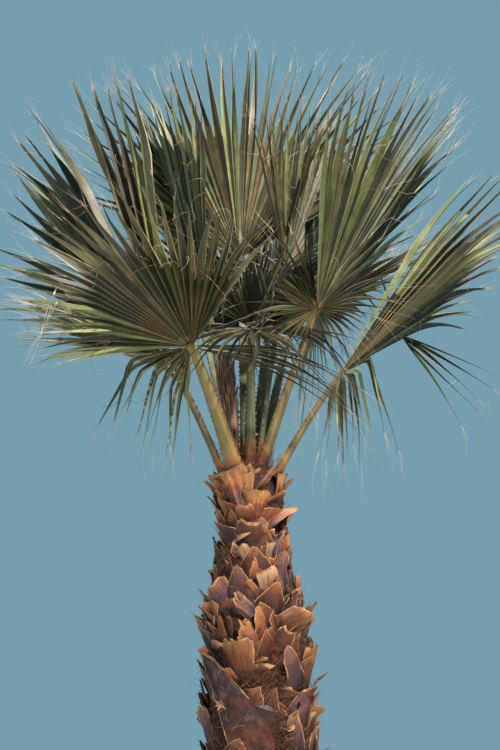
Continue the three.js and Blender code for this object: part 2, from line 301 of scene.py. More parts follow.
# Leaf-base plates: colours at the foot, in the middle and at the worn tip, and their places in between.
# streaks: how fine, across and along. cloudy and blotchy: how much mottling and blotches cover the streaks.
# The dark foot colours are partly the plates' own and partly painted shade.
PLATE_LOOKS = {
    "plate_purple": dict(colours=((22, 8, 8), (76, 44, 46), (146, 98, 76)), places=(0.12, 0.48, 0.9)),
    "plate_brown": dict(colours=((22, 8, 4), (78, 38, 22), (156, 98, 54)), places=(0.12, 0.48, 0.9)),
    "plate_orange": dict(colours=((32, 12, 5), (106, 52, 25), (182, 116, 60)), places=(0.12, 0.48, 0.88)),
    "plate_pale": dict(colours=((54, 28, 22), (120, 80, 62), (202, 160, 116)), places=(0.10, 0.44, 0.84)),
    "plate_striped": dict(colours=((38, 16, 7), (112, 56, 26), (192, 132, 74)), places=(0.2, 0.48, 0.76),
                          streaks=(46, 1.5), cloudy=0.2, blotchy=0.66),
    "plate_huge": dict(colours=((98, 48, 26), (36, 18, 17), (108, 80, 78)), places=(0.20, 0.48, 0.80),
                       cloudy=0.65, blotchy=0.66),
}
PLATE_ROUGHNESS = 0.50
PLATE_GLOSS = 0.38

# Other finishes. fibre: how fine the fibres are, across and along. mottle: how fine the mottling is.
# share: how much it covers the fibres. relief: its strength and depth. places: where the colours lie.
PLAIN_LOOKS = {
    # Painted shadow: bands cast through the fan above onto hanging segments.
    "leaf_painted_shadow_bands": dict(colours=((42, 40, 22), (98, 96, 50), (156, 152, 88)), places=(0.43, 0.5, 0.57),
                        fibre=(4, 30), mottle=9, share=0.15, relief=(0.3, 0.0015),
                        roughness=LEAF_ROUGHNESS),
    "rib": dict(colours=((84, 76, 42), (124, 112, 70)), fibre=(300, 6), mottle=14, share=0.4,
                relief=(0.2, 0.001), roughness=0.45),
    "hub_skin": dict(colours=((104, 76, 38), (164, 130, 76)), fibre=(260, 8), mottle=20, share=0.4,
                     relief=(0.3, 0.001), roughness=0.5),
    # Pale margin: partly the leaf's own yellowish edge, partly painted highlight along sunlit edges.
    "margin": dict(colours=((120, 108, 66), (182, 168, 120)), fibre=(300, 12), mottle=20, share=0.4,
                   relief=(0.2, 0.001), roughness=0.6),
    "dry_tip": dict(colours=((122, 86, 50), (176, 140, 96)), fibre=(400, 10), mottle=20, share=0.4,
                    relief=(0.3, 0.001), roughness=0.7),
    "pale_thread": dict(colours=((176, 150, 134), (216, 196, 184)), fibre=(50, 20), mottle=30, share=0.5,
                        relief=(0.1, 0.001), roughness=0.6, sheen=0.2),
    "tan_thread": dict(colours=((104, 76, 46), (166, 130, 86)), fibre=(50, 20), mottle=30, share=0.5,
                       relief=(0.1, 0.001), roughness=0.7, sheen=0.2),
    "tooth": dict(colours=((70, 32, 14), (150, 84, 38)), fibre=(200, 60), mottle=60, share=0.5,
                  relief=(0.2, 0.001), roughness=0.45),
    # The core: its own dark fibre, darkened further as painted shade in the gaps between plates.
    "core_fibre_gap_shade": dict(colours=((14, 5, 3), (44, 19, 9), (90, 46, 22)), places=(0.3, 0.5, 0.72),
                       fibre=(220, 8), mottle=22, share=0.5, relief=(0.9, 0.006), roughness=0.9),
    "plate_rim": dict(colours=((86, 50, 28), (154, 108, 68), (212, 174, 128)), places=(0.28, 0.5, 0.74),
                      fibre=(90, 40), mottle=34, share=0.5, relief=(0.6, 0.002), roughness=0.8),
    "plate_inner": dict(colours=((36, 14, 7), (88, 46, 24)), fibre=(160, 8), mottle=20, share=0.5,
                        relief=(0.8, 0.003), roughness=0.85),
    "sheath_skin": dict(colours=((80, 50, 38), (122, 86, 68), (166, 128, 106)), places=(0.3, 0.5, 0.7),
                        fibre=(160, 4), mottle=14, share=0.4, relief=(0.5, 0.002),
                        roughness=0.8, sheen=0.1),
    "fibre_dark": dict(colours=((34, 14, 7), (78, 40, 20)), fibre=(60, 20), mottle=30, share=0.5,
                       relief=(0.2, 0.001), roughness=0.85, sheen=0.1),
    "fibre_tan": dict(colours=((78, 42, 22), (144, 94, 54)), fibre=(60, 20), mottle=30, share=0.5,
                      relief=(0.2, 0.001), roughness=0.8, sheen=0.1),
}


def tint(red, green, blue):
    """A colour from the usual 0 to 255 values."""
    parts = [value / 255 for value in (red, green, blue)]
    return tuple(p / 12.92 if p <= 0.04045 else ((p + 0.055) / 1.055) ** 2.4 for p in parts) + (1.0,)


def new_node(finish, kind, **values):
    node = finish.node_tree.nodes.new(kind)
    for name, value in values.items():
        if name in node.inputs:
            node.inputs[name].default_value = value
        else:
            setattr(node, name, value)
    return node


def join_nodes(finish, *pairs):
    for source, target in pairs:
        finish.node_tree.links.new(source, target)


def skin_of(finish):
    return finish.node_tree.nodes["Principled BSDF"]


def colour_ramp(finish, places, colours):
    ramp = new_node(finish, "ShaderNodeValToRGB")
    elements = ramp.color_ramp.elements
    while len(elements) < len(places):
        elements.new(0.5)
    for element, place, colour in zip(elements, places, colours):
        element.position = place
        element.color = tint(*colour)
    return ramp


def noise_on(finish, source, stretch, scale, detail):
    mapping = new_node(finish, "ShaderNodeMapping", Scale=stretch)
    cloud = new_node(finish, "ShaderNodeTexNoise", Scale=scale, Detail=detail, Roughness=0.6)
    join_nodes(finish, (source, mapping.inputs["Vector"]),
               (mapping.outputs["Vector"], cloud.inputs["Vector"]))
    return cloud.outputs["Fac"]


def blend_values(finish, first, second, share):
    """first and second mixed as plain values, by a share of the second."""
    mixed = new_node(finish, "ShaderNodeMix", data_type="FLOAT")
    mixed.inputs[0].default_value = share
    join_nodes(finish, (first, mixed.inputs[2]), (second, mixed.inputs[3]))
    return mixed.outputs[0]


def spread_values(finish, source, low, high):
    """source stretched, so that low gives 0 and high gives 1."""
    spread = new_node(finish, "ShaderNodeMapRange", **{"From Min": low, "From Max": high})
    join_nodes(finish, (source, spread.inputs["Value"]))
    return spread.outputs[0]


def fibrous(name, colours, fibre, mottle, share, relief, roughness, places=(0.3, 0.7), sheen=0.0):
    """A grown skin: fibres along its grain coordinates, mottling through space, and relief from both."""
    finish = bpy.data.materials.new(name)
    finish.use_nodes = True
    skin = skin_of(finish)
    skin.inputs["Roughness"].default_value = roughness
    skin.inputs["Sheen Weight"].default_value = sheen
    grain = new_node(finish, "ShaderNodeUVMap", uv_map="grain").outputs["UV"]
    space = new_node(finish, "ShaderNodeTexCoord").outputs["Object"]
    fibres = noise_on(finish, grain, (*fibre, 1), 1.0, 3.0)
    clouds = noise_on(finish, space, (1, 1, 1), mottle, 4.0)
    both = blend_values(finish, fibres, clouds, share)
    ramp = colour_ramp(finish, places, colours)
    bump = new_node(finish, "ShaderNodeBump", Strength=relief[0], Distance=relief[1])
    join_nodes(finish, (both, ramp.inputs["Fac"]), (ramp.outputs["Color"], skin.inputs["Base Color"]),
               (both, bump.inputs["Height"]), (bump.outputs["Normal"], skin.inputs["Normal"]))
    return finish


# Leaf skins: their mottling is partly the leaf's own and partly painted dappled shadow.
def leaf_skin(name, dark, light):
    middle = [(a + b) / 2 for a, b in zip(dark, light)]
    shades = (dark, middle, light)
    return fibrous(name, shades, (150, 3), 9, 0.42, (0.5, 0.0015), LEAF_ROUGHNESS, LEAF_PLACES)


def stalk_skin(name, dark, middle, light):
    """Smooth stalk: orange-brown at its foot, its own tint above, with long streaks."""
    finish = fibrous(name, (dark, middle, light), (110, 2), 12, 0.35, (0.4, 0.002), 0.56, (0.3, 0.5, 0.7))
    base = skin_of(finish).inputs["Base Color"]
    plain = base.links[0].from_socket
    grain = new_node(finish, "ShaderNodeUVMap", uv_map="grain").outputs["UV"]
    parts = new_node(finish, "ShaderNodeSeparateXYZ")
    join_nodes(finish, (grain, parts.inputs[0]))
    height = spread_values(finish, parts.outputs["Y"], *WARM_FOOT)
    warm = colour_ramp(finish, (0.0, 0.5, 1.0), (*WARM_TINTS, light))
    mixed = new_node(finish, "ShaderNodeMix", data_type="RGBA")
    join_nodes(finish, (height, warm.inputs["Fac"]), (height, mixed.inputs[0]),
               (warm.outputs["Color"], mixed.inputs[6]), (plain, mixed.inputs[7]), (mixed.outputs[2], base))
    return finish


def plate_skin(name, colours, places, streaks=(110, 6), cloudy=0.45, blotchy=0.42):
    """Old leaf base: dark below, partly painted shade, tan and worn towards its tip, with fibres, blotches,
    relief.
    """
    worn = [min(255, 1.08 * value + 20) for value in colours[-1]]
    shades, steps = (*colours, worn), (*places, 1.0)
    finish = fibrous(name, shades, streaks, 16, cloudy, (1.0, 0.006), PLATE_ROUGHNESS, steps)
    skin_of(finish).inputs["Specular IOR Level"].default_value = PLATE_GLOSS
    ramp = next(node for node in finish.node_tree.nodes if node.type == "VALTORGB")
    pattern = ramp.inputs["Fac"].links[0].from_socket
    space = new_node(finish, "ShaderNodeTexCoord").outputs["Object"]
    blotches = noise_on(finish, space, (1, 1, 1), 9, 3.0)
    patchy = spread_values(finish, blend_values(finish, pattern, blotches, 0.4), 0.32, 0.68)
    # The values run from a plate's foot, dark partly in painted shade, to its worn tip.
    wear_and_shade = new_node(finish, "ShaderNodeAttribute", attribute_name="wear_and_shade").outputs["Fac"]
    grown = spread_values(finish, wear_and_shade, 0.36, 1.0)
    join_nodes(finish, (blend_values(finish, grown, patchy, blotchy), ramp.inputs["Fac"]))
    return finish


def make_finishes():
    made = {name: leaf_skin(name, *shades) for name, shades in LEAF_TINTS.items()}
    made.update((name, plate_skin(name, **look)) for name, look in PLATE_LOOKS.items())
    made.update((name, fibrous(name, **look)) for name, look in PLAIN_LOOKS.items())
    made.update((name, stalk_skin(name, *shades)) for name, shades in STALK_TINTS.items())
    return made


# Fan blades

SEGMENT_ANGLE = 4.0
FINE_STEPS = 40
FINE_SHARES = (np.arange(FINE_STEPS) + 0.5) / FINE_STEPS
# Places along a segment, as shares of its length, and across each half of it, from its margin to its rib
STATIONS = np.array([0.008, 0.07, 0.14, 0.22, 0.30, 0.37, 0.44, 0.50, 0.56, 0.63, 0.70, 0.78, 0.86, 0.93,
                     0.97, 1.0])
ACROSS = np.array([0.0, 0.13, 0.5, 0.86, 1.0])
PLEAT_DEPTH = 0.62
JOIN_MIDDLE = 0.52
JOIN_BASAL = 0.22
JOIN_STRAY = 0.06
RIB_STAND = 0.08
WIDEST_HANGING = 0.023
TIP_START = 0.9
TIP_WIDTH = 0.0006
STAR_ROWS = 4
OUTER_ANGLE = 92
DEAD_SHARE = 0.015

# How the free ends of segments stray. A stray is the spread of a bell-shaped draw, a pair the range of an
# even one.
SWING_STRAY = 0.08
SWING_WAVE = 0.10
LIFT_STRAY = 0.1
SAG_MOST = 0.12
SAG_DROOP = 0.35
LOOSE_END = 1.2
KINK_LENGTH = 0.09
TWIST_STRAY = 42
TIP_GAP = 0.02
STANDING_REACH = (0.86, 1.06)
HANG_SHARE = (0.65, 0.97)
CLOSE_HANGING = (42, 66)
CLOSE_STANDING = (48, 72)

# Leaf tints as they are dealt out to segments, with painted shade and painted sunlight among them
OLIVE_MIX = ["leaf_olive", "leaf_olive", "leaf_shade", "leaf_green", "leaf_olive"]
GREEN_MIX = ["leaf_green", "leaf_grey_green", "leaf_green", "leaf_olive", "leaf_painted_light"]
SUNNY_MIX = ["leaf_green", "leaf_painted_light", "leaf_grey_green", "leaf_olive", "leaf_painted_light", "leaf_shade"]
GREY_MIX = ["leaf_grey_green", "leaf_shade", "leaf_green", "leaf_shade", "leaf_olive"]
SHADE_MIX = ["leaf_shade", "leaf_green", "leaf_olive", "leaf_shade", "leaf_grey_green"]
DEEP_MIX = ["leaf_green", "leaf_shade", "leaf_green", "leaf_olive", "leaf_shade", "leaf_painted_light",
            "leaf_grey_green"]
UPPER_LIT_MIX = ["leaf_painted_light", "leaf_lit", "leaf_green", "leaf_painted_light", "leaf_grey_green"]
LIT_MIX = ["leaf_painted_light", "leaf_lit", "leaf_lit", "leaf_painted_light", "leaf_lit", "leaf_green"]
# The banded tint of hanging segments is painted shadow.
HANGING_MIX = ["leaf_painted_shadow_bands", "leaf_painted_light", "leaf_shade", "leaf_olive", "leaf_lit", "leaf_painted_shadow_bands",
               "leaf_painted_light"]
DEEP_SHADE_MIX = ["leaf_black", "leaf_shade", "leaf_black", "leaf_shade", "leaf_green"]
BUNCH_SHADE_MIX = ["leaf_shade", "leaf_black", "leaf_shade", "leaf_black", "leaf_olive"]
ROSETTE_MIX = ["leaf_olive", "leaf_dead", "leaf_grey_green", "leaf_olive"]
SPRAY_MIX = ["leaf_shade", "leaf_shade", "leaf_green"]
LEAF_FINISHES = [*LEAF_TINTS, "leaf_painted_shadow_bands", "rib", "margin", "dry_tip", "hub_skin"]

# How a frond's segments grow. Angles are in degrees from its midrib, and shares are from 0 to 1.
# tints: dealt out to all segments, outer_tints: to those beyond lit_from, hang_tints: to snapped ones.
# snap, snap_outer: share that is snapped, within and beyond snap_from. kinks: where along itself one snaps.
# hang_reach: how much longer a snapped end is. hang_join: how far out such segments stay joined, and
# join: the others. angle: between segments. pleat: how deep they fold. fuller, hang_fuller: how much wider
# a free end grows, and None lets it grow with the angle. loose: how much free ends stray.
# ribs, margins: share with a pale rib or edge. gaps: share that is gone towards the stalk.
# torn: first and last angle, and the share that is gone between them.
# lit_patch: first and last angle, and where along the segments between them light falls.
# threads: share of the splits that have loose threads. curls: share of those that have a strong curled one.
# valley: finish of the folds between segments, painted shade in some fans. tip: finish of their ends.
PLAIN_MANNER = dict(
    tints=GREEN_MIX, outer_tints=None, lit_from=OUTER_ANGLE, hang_tints=None, snap=0.0, snap_outer=0.1,
    snap_from=OUTER_ANGLE, kinks=(0.0, 0.85), hang_reach=(1.0, 1.35), hang_join=1.0, join=JOIN_MIDDLE,
    angle=SEGMENT_ANGLE, pleat=PLEAT_DEPTH, fuller=None, hang_fuller=0.0, loose=1.0, ribs=0.25, margins=0.4,
    gaps=0.0, torn=(), lit_patch=(0, 0, 1, 1), threads=1.0, curls=0.12, valley=None, tip="dry_tip",
)


def grown(**own):
    return {**PLAIN_MANNER, **own}


MANNERS = {
    "front_left": grown(tints=OLIVE_MIX, outer_tints=LIT_MIX, lit_from=58, hang_tints=HANGING_MIX,
                        snap_outer=0.95, snap_from=98, kinks=(0.36, 0.52), hang_reach=(0.66, 0.95),
                        hang_fuller=1.8, angle=4.8, pleat=0.85, ribs=0.8, gaps=0.1, curls=0.5,
                        valley="leaf_shade"),
    "right": grown(tints=DEEP_MIX, snap_outer=0.4, angle=2.8, pleat=0.8, margins=0.65,
                   torn=[(-46, -22, 0.55)]),
    "lower_right": grown(tints=DEEP_MIX, outer_tints=HANGING_MIX, lit_from=48, snap_outer=1.0, snap_from=46,
                         hang_tints=[*HANGING_MIX, "leaf_yellow"], kinks=(0.08, 0.26),
                         hang_reach=(0.5, 0.8), hang_fuller=2.8, hang_join=0.15, angle=3.3, pleat=0.8,
                         fuller=0.2, ribs=0.3, margins=0.6, gaps=0.1, threads=0.5,
                         torn=[(-100, -46, 0.4), (15, 31, 0.4)], lit_patch=(8, 17, 0.32, 0.72)),
    "left": grown(tints=DEEP_MIX, outer_tints=LIT_MIX, lit_from=36, snap_outer=0.0, join=0.6, angle=3.2,
                  pleat=0.8, fuller=0.55, ribs=0.3, margins=0.6, gaps=0.1,
                  torn=[(-8, -1, 0.95), (27, 33, 0.6)], curls=0.8),
    "centre_back": grown(tints=SUNNY_MIX, angle=3.5, margins=0.6, curls=0.6),
    "upper_left": grown(tints=UPPER_LIT_MIX, join=0.6, angle=3.0, fuller=0.6, curls=0.9),
    "upper_right": grown(tints=GREY_MIX, angle=3.1, margins=0.6, curls=0.5),
    # The small front fan's tints, folds and tips are painted deep shade.
    "front": grown(tints=DEEP_SHADE_MIX, snap=0.5, snap_outer=0.95, kinks=(0.3, 0.7), angle=3.4, loose=2.6,
                   ribs=0.1, margins=0.0, threads=0.15, valley="leaf_black", tip="leaf_shade"),
    "top_right": grown(tints=DEEP_MIX, angle=3.1, curls=0.4),
    "back_left": grown(snap=0.03, snap_outer=0.4, ribs=0.3),
    "back_right": grown(tints=GREY_MIX, snap=0.03, snap_outer=0.4, ribs=0.3),
    "back": grown(tints=SHADE_MIX, snap=0.03, snap_outer=0.4, ribs=0.3),
    "far_left": grown(tints=LIT_MIX, snap=0.05, snap_outer=0.9, kinks=(0.4, 0.65), hang_reach=(0.7, 1.0),
                      hang_fuller=1.0, angle=3.6, ribs=0.4, gaps=0.3),
}
SPRAY_MANNER = grown(tints=SPRAY_MIX, snap_outer=0.0, join=0.12, angle=6.5, pleat=0.4, fuller=1.6, ribs=0.0)
# The short segments all round the right frond's hub, which face the viewer
RIGHT_ROSETTE = dict(hub=(0.180, -0.245, 4.070), bearing=170, rise=78, roll=0, radius=0.50, left=165,
                     right=140, droop=0.25, fold=16, basal=0.45)
ROSETTE_MANNER = grown(tints=ROSETTE_MIX, snap_outer=0.0, join=0.35, angle=8.5, pleat=0.9, ribs=0.8,
                       gaps=0.1, torn=[(-6, 6, 1.0)])
# Loose bunches in painted deep shade in the middle: one crosses the stalks from the near fan's hub, one hangs
CROSSING_BUNCH = dict(hub=(-0.430, -0.450, 3.830), bearing=93, rise=-7, roll=80, radius=0.94, left=9,
                      right=9, droop=1.7, fold=3, basal=0.0)
TANGLED_BUNCH = dict(hub=(-0.140, -0.180, 3.985), bearing=5, rise=-30, roll=0, radius=0.62, left=105,
                     right=105, droop=1.2, fold=6, basal=0.2)
BUNCH_MANNER = grown(tints=BUNCH_SHADE_MIX, snap_outer=0.5, snap_from=40, join=0.2, angle=2.4, pleat=0.6,
                     fuller=1.4, loose=1.2, ribs=0.0, margins=0.2, threads=0.2, tip="leaf_olive")
TANGLE_MANNER = dict(BUNCH_MANNER, snap=0.4, angle=8.0, fuller=0.8, loose=3.4)


def fan_axes(fan):
    midrib = heading(fan["bearing"], fan["rise"])
    level = heading(fan["bearing"] - 90, 0)
    upright = np.cross(level, midrib)
    roll = math.radians(fan["roll"])
    normal = upright * math.cos(roll) + level * math.sin(roll)
    return midrib, normal, np.cross(midrib, normal)


def outwardness(angle):
    """0 on a fan's midrib, 1 straight back towards its stalk."""
    return (1 - math.cos(math.radians(angle))) / 2


def segment_length(fan, angle):
    return fan["radius"] * (1 - fan["basal"] * outwardness(angle))


def run_out(fan, angle, habit=None):
    """Points along a segment from the hub to its tip. A habit bends its free end off the fan's curve."""
    midrib, normal, side = fan_axes(fan)
    hand = -1 if angle < 0 else 1
    turn, fold = math.radians(angle), math.radians(fan["fold"])
    across = side * (hand * math.cos(fold)) + normal * math.sin(fold)
    way = unit(midrib * math.cos(turn) + across * abs(math.sin(turn)))
    limp = fan["droop"] * (0.3 + 1.8 * outwardness(angle))
    ways = way[None, :] - UP[None, :] * (limp * FINE_SHARES ** 2)[:, None]
    reach = np.full(FINE_STEPS, segment_length(fan, angle) / FINE_STEPS)
    if habit:
        ways = bend_free_end(ways, way, normal, habit)
        reach = reach * np.where(FINE_SHARES > habit["free"], habit["stretch"], 1.0)
    ways = unit_rows(ways)
    start = np.array(fan["hub"]) + side * (hand * HALF_SHIFT)
    return np.vstack([start, start + np.cumsum(ways * reach[:, None], axis=0)])


def bend_free_end(ways, way, normal, habit):
    """Lets a segment's free end swing, lift and sag, and a snapped one hang down from its kink."""
    loose = smooth_step(FINE_SHARES, habit["free"], LOOSE_END)[:, None]
    sideways = unit(np.cross(normal, way))
    stray = sideways * habit["swing"] + normal * habit["lift"] - UP * habit["sag"]
    ways = unit_rows(ways + loose * stray)
    if not habit["snapped"]:
        return ways
    hang = unit(np.array([way[0], way[1], 0.0]) * 0.35 - UP + sideways * habit["swing"])
    bent = smooth_step(FINE_SHARES, habit["kink"], habit["kink"] + KINK_LENGTH)[:, None] * habit["hang"]
    return ways * (1 - bent) + hang[None, :] * bent


def at_stations(path):
    fine = np.linspace(0, 1, FINE_STEPS + 1)
    return np.stack([np.interp(STATIONS, fine, path[:, k]) for k in range(3)], axis=1)


def tangents(points):
    return unit_rows(np.gradient(points, axis=0))


def blade_normals(fan, angle, points):
    """Upper-side directions of the fan along one of its rays."""
    beside = at_stations(run_out(fan, angle + 1)) - at_stations(run_out(fan, angle - 1))
    upward = unit_rows(np.cross(tangents(points), beside))
    return upward * np.where(upward @ fan_axes(fan)[1] < 0, -1, 1)[:, None]


def turn_about(vectors, axes, angles):
    """vectors turned about unit axes by angles in radians, row by row."""
    c, s = np.cos(angles)[:, None], np.sin(angles)[:, None]
    along = np.sum(vectors * axes, axis=1)[:, None]
    return vectors * c + np.cross(axes, vectors) * s + axes * along * (1 - c)


def pick_habit(fan, manner, angle, free, rng):
    """How one segment's free end grows: its swing, sag, length, and whether it is snapped and hangs."""
    snapped = rng.random() < manner["snap_outer" if abs(angle) > manner["snap_from"] else "snap"]
    first, last = manner["kinks"]
    fuller = manner["hang_fuller" if snapped else "fuller"]
    if fuller is None:
        fuller = mix(0.1, 0.7, min(1.0, 1.4 * outwardness(angle)))
    wave = SWING_WAVE * math.sin(angle * 0.37 + manner["snap"] * 60)
    return {
        "free": free,
        "snapped": snapped,
        "swing": (rng.gauss(0, SWING_STRAY) + wave) * manner["loose"],
        "lift": rng.gauss(0, LIFT_STRAY) * manner["loose"],
        "sag": rng.uniform(0.0, SAG_MOST) + SAG_DROOP * fan["droop"] * rng.random(),
        "stretch": rng.uniform(*(manner["hang_reach"] if snapped else STANDING_REACH)),
        "kink": rng.uniform(max(first, free + 0.02), last) if snapped else None,
        "hang": rng.uniform(*HANG_SHARE),
        "twist": math.radians(rng.gauss(0, TWIST_STRAY)),
        "close": math.radians(rng.uniform(*(CLOSE_HANGING if snapped else CLOSE_STANDING))),
        "pleat": manner["pleat"],
        "fuller": fuller,
        "widest": WIDEST_HANGING if snapped else 1.0,
        "shaded": rng.choice([-1, 1, 0]),
        # A pale edge on some segments, partly painted highlight.
        "edge": "margin" if rng.random() < manner["margins"] else "leaf_olive",
        "split": rng.uniform(0.55, 0.95),
        "gap": rng.uniform(0.1, 0.9),
    }


def falls_out(manner, angle, rng):
    """True for a segment that is gone, so that sky shows in its place."""
    missing = manner["gaps"] * min(1.0, 1.6 * outwardness(angle))
    for first, last, share in manner["torn"]:
        missing = share if first < angle < last else missing
    return rng.random() < missing


def pick_tints(habit, manner, angle, rng):
    """Adds the finishes of one segment, and where light falls on it, to its habit."""
    blade = rng.choice(manner["tints"])
    if manner["outer_tints"] and abs(angle) > manner["lit_from"]:
        blade = rng.choice(manner["outer_tints"])
    if manner["hang_tints"] and habit["snapped"]:
        blade = rng.choice(manner["hang_tints"])
    if rng.random() < DEAD_SHARE:
        blade = "leaf_dead"
    first, last, lit_from, lit_to = manner["lit_patch"]
    habit["blade"] = blade
    habit["rib"] = "rib" if rng.random() < manner["ribs"] else blade
    habit["valley"] = manner["valley"] or blade
    habit["tip"] = manner["tip"]
    habit["light"] = (lit_from, lit_to) if first < angle < last else (1, 1)


def segment_frame(fan, left, right, rib_line, first_free, twists):
    """Ways along a segment's rib, and its own sideways and upward directions, twisted in its free end."""
    angle = (left["angle"] + right["angle"]) / 2
    ways = tangents(rib_line)
    upward = blade_normals(fan, angle, rib_line)
    beside = unit_rows(right["points"] - left["points"])
    beside[first_free:] = beside[first_free]
    beside = unit_rows(beside - ways * np.sum(beside * ways, axis=1)[:, None])
    beside = turn_about(beside, ways, twists)
    own_up = unit_rows(np.cross(beside, ways))
    own_up *= np.where(np.sum(own_up * upward, axis=1) < 0, -1, 1)[first_free]
    return ways, beside, own_up


def draw_in(edge, ridge, join, shut, outward, own_up, habit):
    """Draws a half strip's outer edge in beyond its join, down to a point at its tip."""
    strip = np.linalg.norm(edge[join] - ridge[join])
    for row in range(join + 1, len(STATIONS)):
        u = (STATIONS[row] - STATIONS[join]) / (1 - STATIONS[join])
        slope = mix(shut, habit["close"], min(1.0, u / 0.35))
        fuller = 1 + habit["fuller"] * math.sin(math.pi * min(1.0, 1.5 * u)) * (u < 0.66)
        reach = min(strip * fuller, habit["widest"]) * (1 - u) ** 0.8 + TIP_WIDTH
        edge[row] = ridge[row] + reach * (outward[row] * math.cos(slope) + own_up[row] * math.sin(slope))


def strip_skins(hand, join, free, habit):
    """Finishes of a half strip, for each stretch along it, from its margin to its rib."""
    in_shade = hand == habit["shaded"] and habit["blade"] != "leaf_black"
    lit_from, lit_to = habit["light"]
    skins = []
    for row in range(len(STATIONS) - 1):
        face = "leaf_shade" if in_shade else habit["blade"]
        if lit_from < STATIONS[row] < lit_to:
            face = "leaf_painted_light"
        star = habit["rib"] == "rib" and row < STAR_ROWS
        # Folds near the hub take the valley finish, painted shade where a fan has one.
        outer = habit["edge"] if row >= join else habit["valley"]
        inner = "hub_skin" if star and row == 0 else face
        bare = [outer, face, inner, "hub_skin" if star else habit["rib"]]
        skins.append([habit["tip"]] * 4 if free[row] >= TIP_START else bare)
    return skins


def leaf_segment(mesh, fan, left, right, habit, rng):
    """One folded segment: two half strips from margin to rib, joined to its neighbours near the hub."""
    angle = (left["angle"] + right["angle"]) / 2
    first_free = min(left["join"], right["join"])
    free = np.clip((STATIONS - STATIONS[first_free]) / (1 - STATIONS[first_free]), 0, 1)
    rib_line = at_stations(run_out(fan, angle, habit))
    ways, beside, own_up = segment_frame(fan, left, right, rib_line, first_free, habit["twist"] * free)
    width = math.radians(right["angle"] - left["angle"]) * segment_length(fan, angle) * STATIONS
    depth = habit["pleat"] * width
    sunk = np.where(np.arange(len(STATIONS)) <= first_free, depth, depth[first_free] * (1 - free))
    ridge = rib_line - own_up * (sunk / 2)[:, None]
    parted = np.clip((free - habit["split"]) / (1 - habit["split"]), 0, 1) * habit["gap"] * TIP_GAP
    length = (segment_length(fan, angle) * STATIONS + rng.random())[:, None]
    for hand, margin in ((-1, left), (1, right)):
        join = first_free if habit["snapped"] else margin["join"]
        edge = margin["points"] + margin["normals"] * (margin["depth"] / 2)[:, None]
        shut = math.atan2(depth[join], width[join] / 2)
        draw_in(edge, ridge, join, shut, hand * beside, own_up, habit)
        apart = beside * (hand * parted)[:, None]
        edge += apart
        inner = ridge + apart
        span = np.linalg.norm(edge - inner, axis=1)
        bulge = span * RIB_STAND
        net = edge[:, None, :] * (1 - ACROSS)[None, :, None] + inner[:, None, :] * ACROSS[None, :, None]
        net[:, -1, :] -= own_up * bulge[:, None]
        net[:, 2, :] += own_up * (bulge * 0.6)[:, None]
        aside = hand * span[:, None] * (1 - ACROSS)[None, :]
        grain = np.stack([aside, np.repeat(length, len(ACROSS), 1)], axis=2)
        skins = strip_skins(hand, join, free, habit)
        if hand > 0:
            net, grain = net[:, ::-1], grain[:, ::-1]
            skins = [row[::-1] for row in skins]
        mesh.add_net(net, skins, grain)
    return rib_line, ways


def fan_rays(fan, manner, rng):
    """Fold lines between neighbouring segments, with how far out each pair stays joined."""
    total = fan["left"] + fan["right"]
    count = max(2, round(total / manner["angle"]))
    rays = []
    for number in range(count + 1):
        angle = -fan["left"] + total * number / count
        middle = manner["join"]
        if abs(angle) > manner["snap_from"]:
            middle = min(middle, manner["hang_join"])
        share = mix(middle, min(middle, JOIN_BASAL), min(1.0, 1.3 * outwardness(angle)))
        share += rng.uniform(-JOIN_STRAY, JOIN_STRAY)
        points = at_stations(run_out(fan, angle))
        depth = manner["pleat"] * math.radians(total / count) * segment_length(fan, angle) * STATIONS
        rays.append({
            "angle": angle,
            "points": points,
            "normals": blade_normals(fan, angle, points),
            "depth": depth * rng.uniform(0.75, 1.2),
            "join": max(1, int(np.argmin(np.abs(STATIONS - share)))),
        })
    return rays


# Threads

THREAD_TAPER = 0.75
ANY_SLANT = np.array([0.31, 0.52, 0.79])
SPARE_SHARE = 0.025
SPARE_LENGTH = 0.008
# Loose threads of a fan. length: shortest and longest. curl: how much they wind. sag: how much they sink.
LOOSE_THREADS = {
    "tip": dict(length=(0.08, 0.24), curl=0.045, sag=0.0, steps=9, radius=0.00055, tints=["pale_thread"]),
    "split": dict(length=(0.12, 0.36), curl=0.2, sag=0.05, steps=12, radius=0.0009,
                  tints=["tan_thread", "tan_thread", "pale_thread"]),
    "edge": dict(length=(0.1, 0.26), curl=0.28, sag=0.12, steps=12, radius=0.0008,
                 tints=["pale_thread", "tan_thread", "tan_thread"]),
    "curled": dict(length=(0.12, 0.3), curl=0.42, sag=0.1, steps=14, radius=0.0019, tints=["tan_thread"]),
}
# Long white filaments on the near fan: angle in the fan, station and length
LONG_THREADS = ((52, 11, 0.42), (60, 11, 0.32))
LONG_THREAD_WAY = np.array([-0.38, 0.0, -1.0])
LONG_THREAD_RADIUS = 0.0022


def wander(start, way, length, curl, sag, rng, steps):
    """A thin curling line from start, roughly along way."""
    point, going = np.array(start), unit(np.array(way))
    bend = scatter(1, rng)
    points = [point]
    for _ in range(steps):
        bend = 0.6 * bend + 0.8 * scatter(1, rng)
        going = unit(going + bend * curl - UP * sag)
        point = point + going * length / steps
        points.append(point)
    return np.array(points)


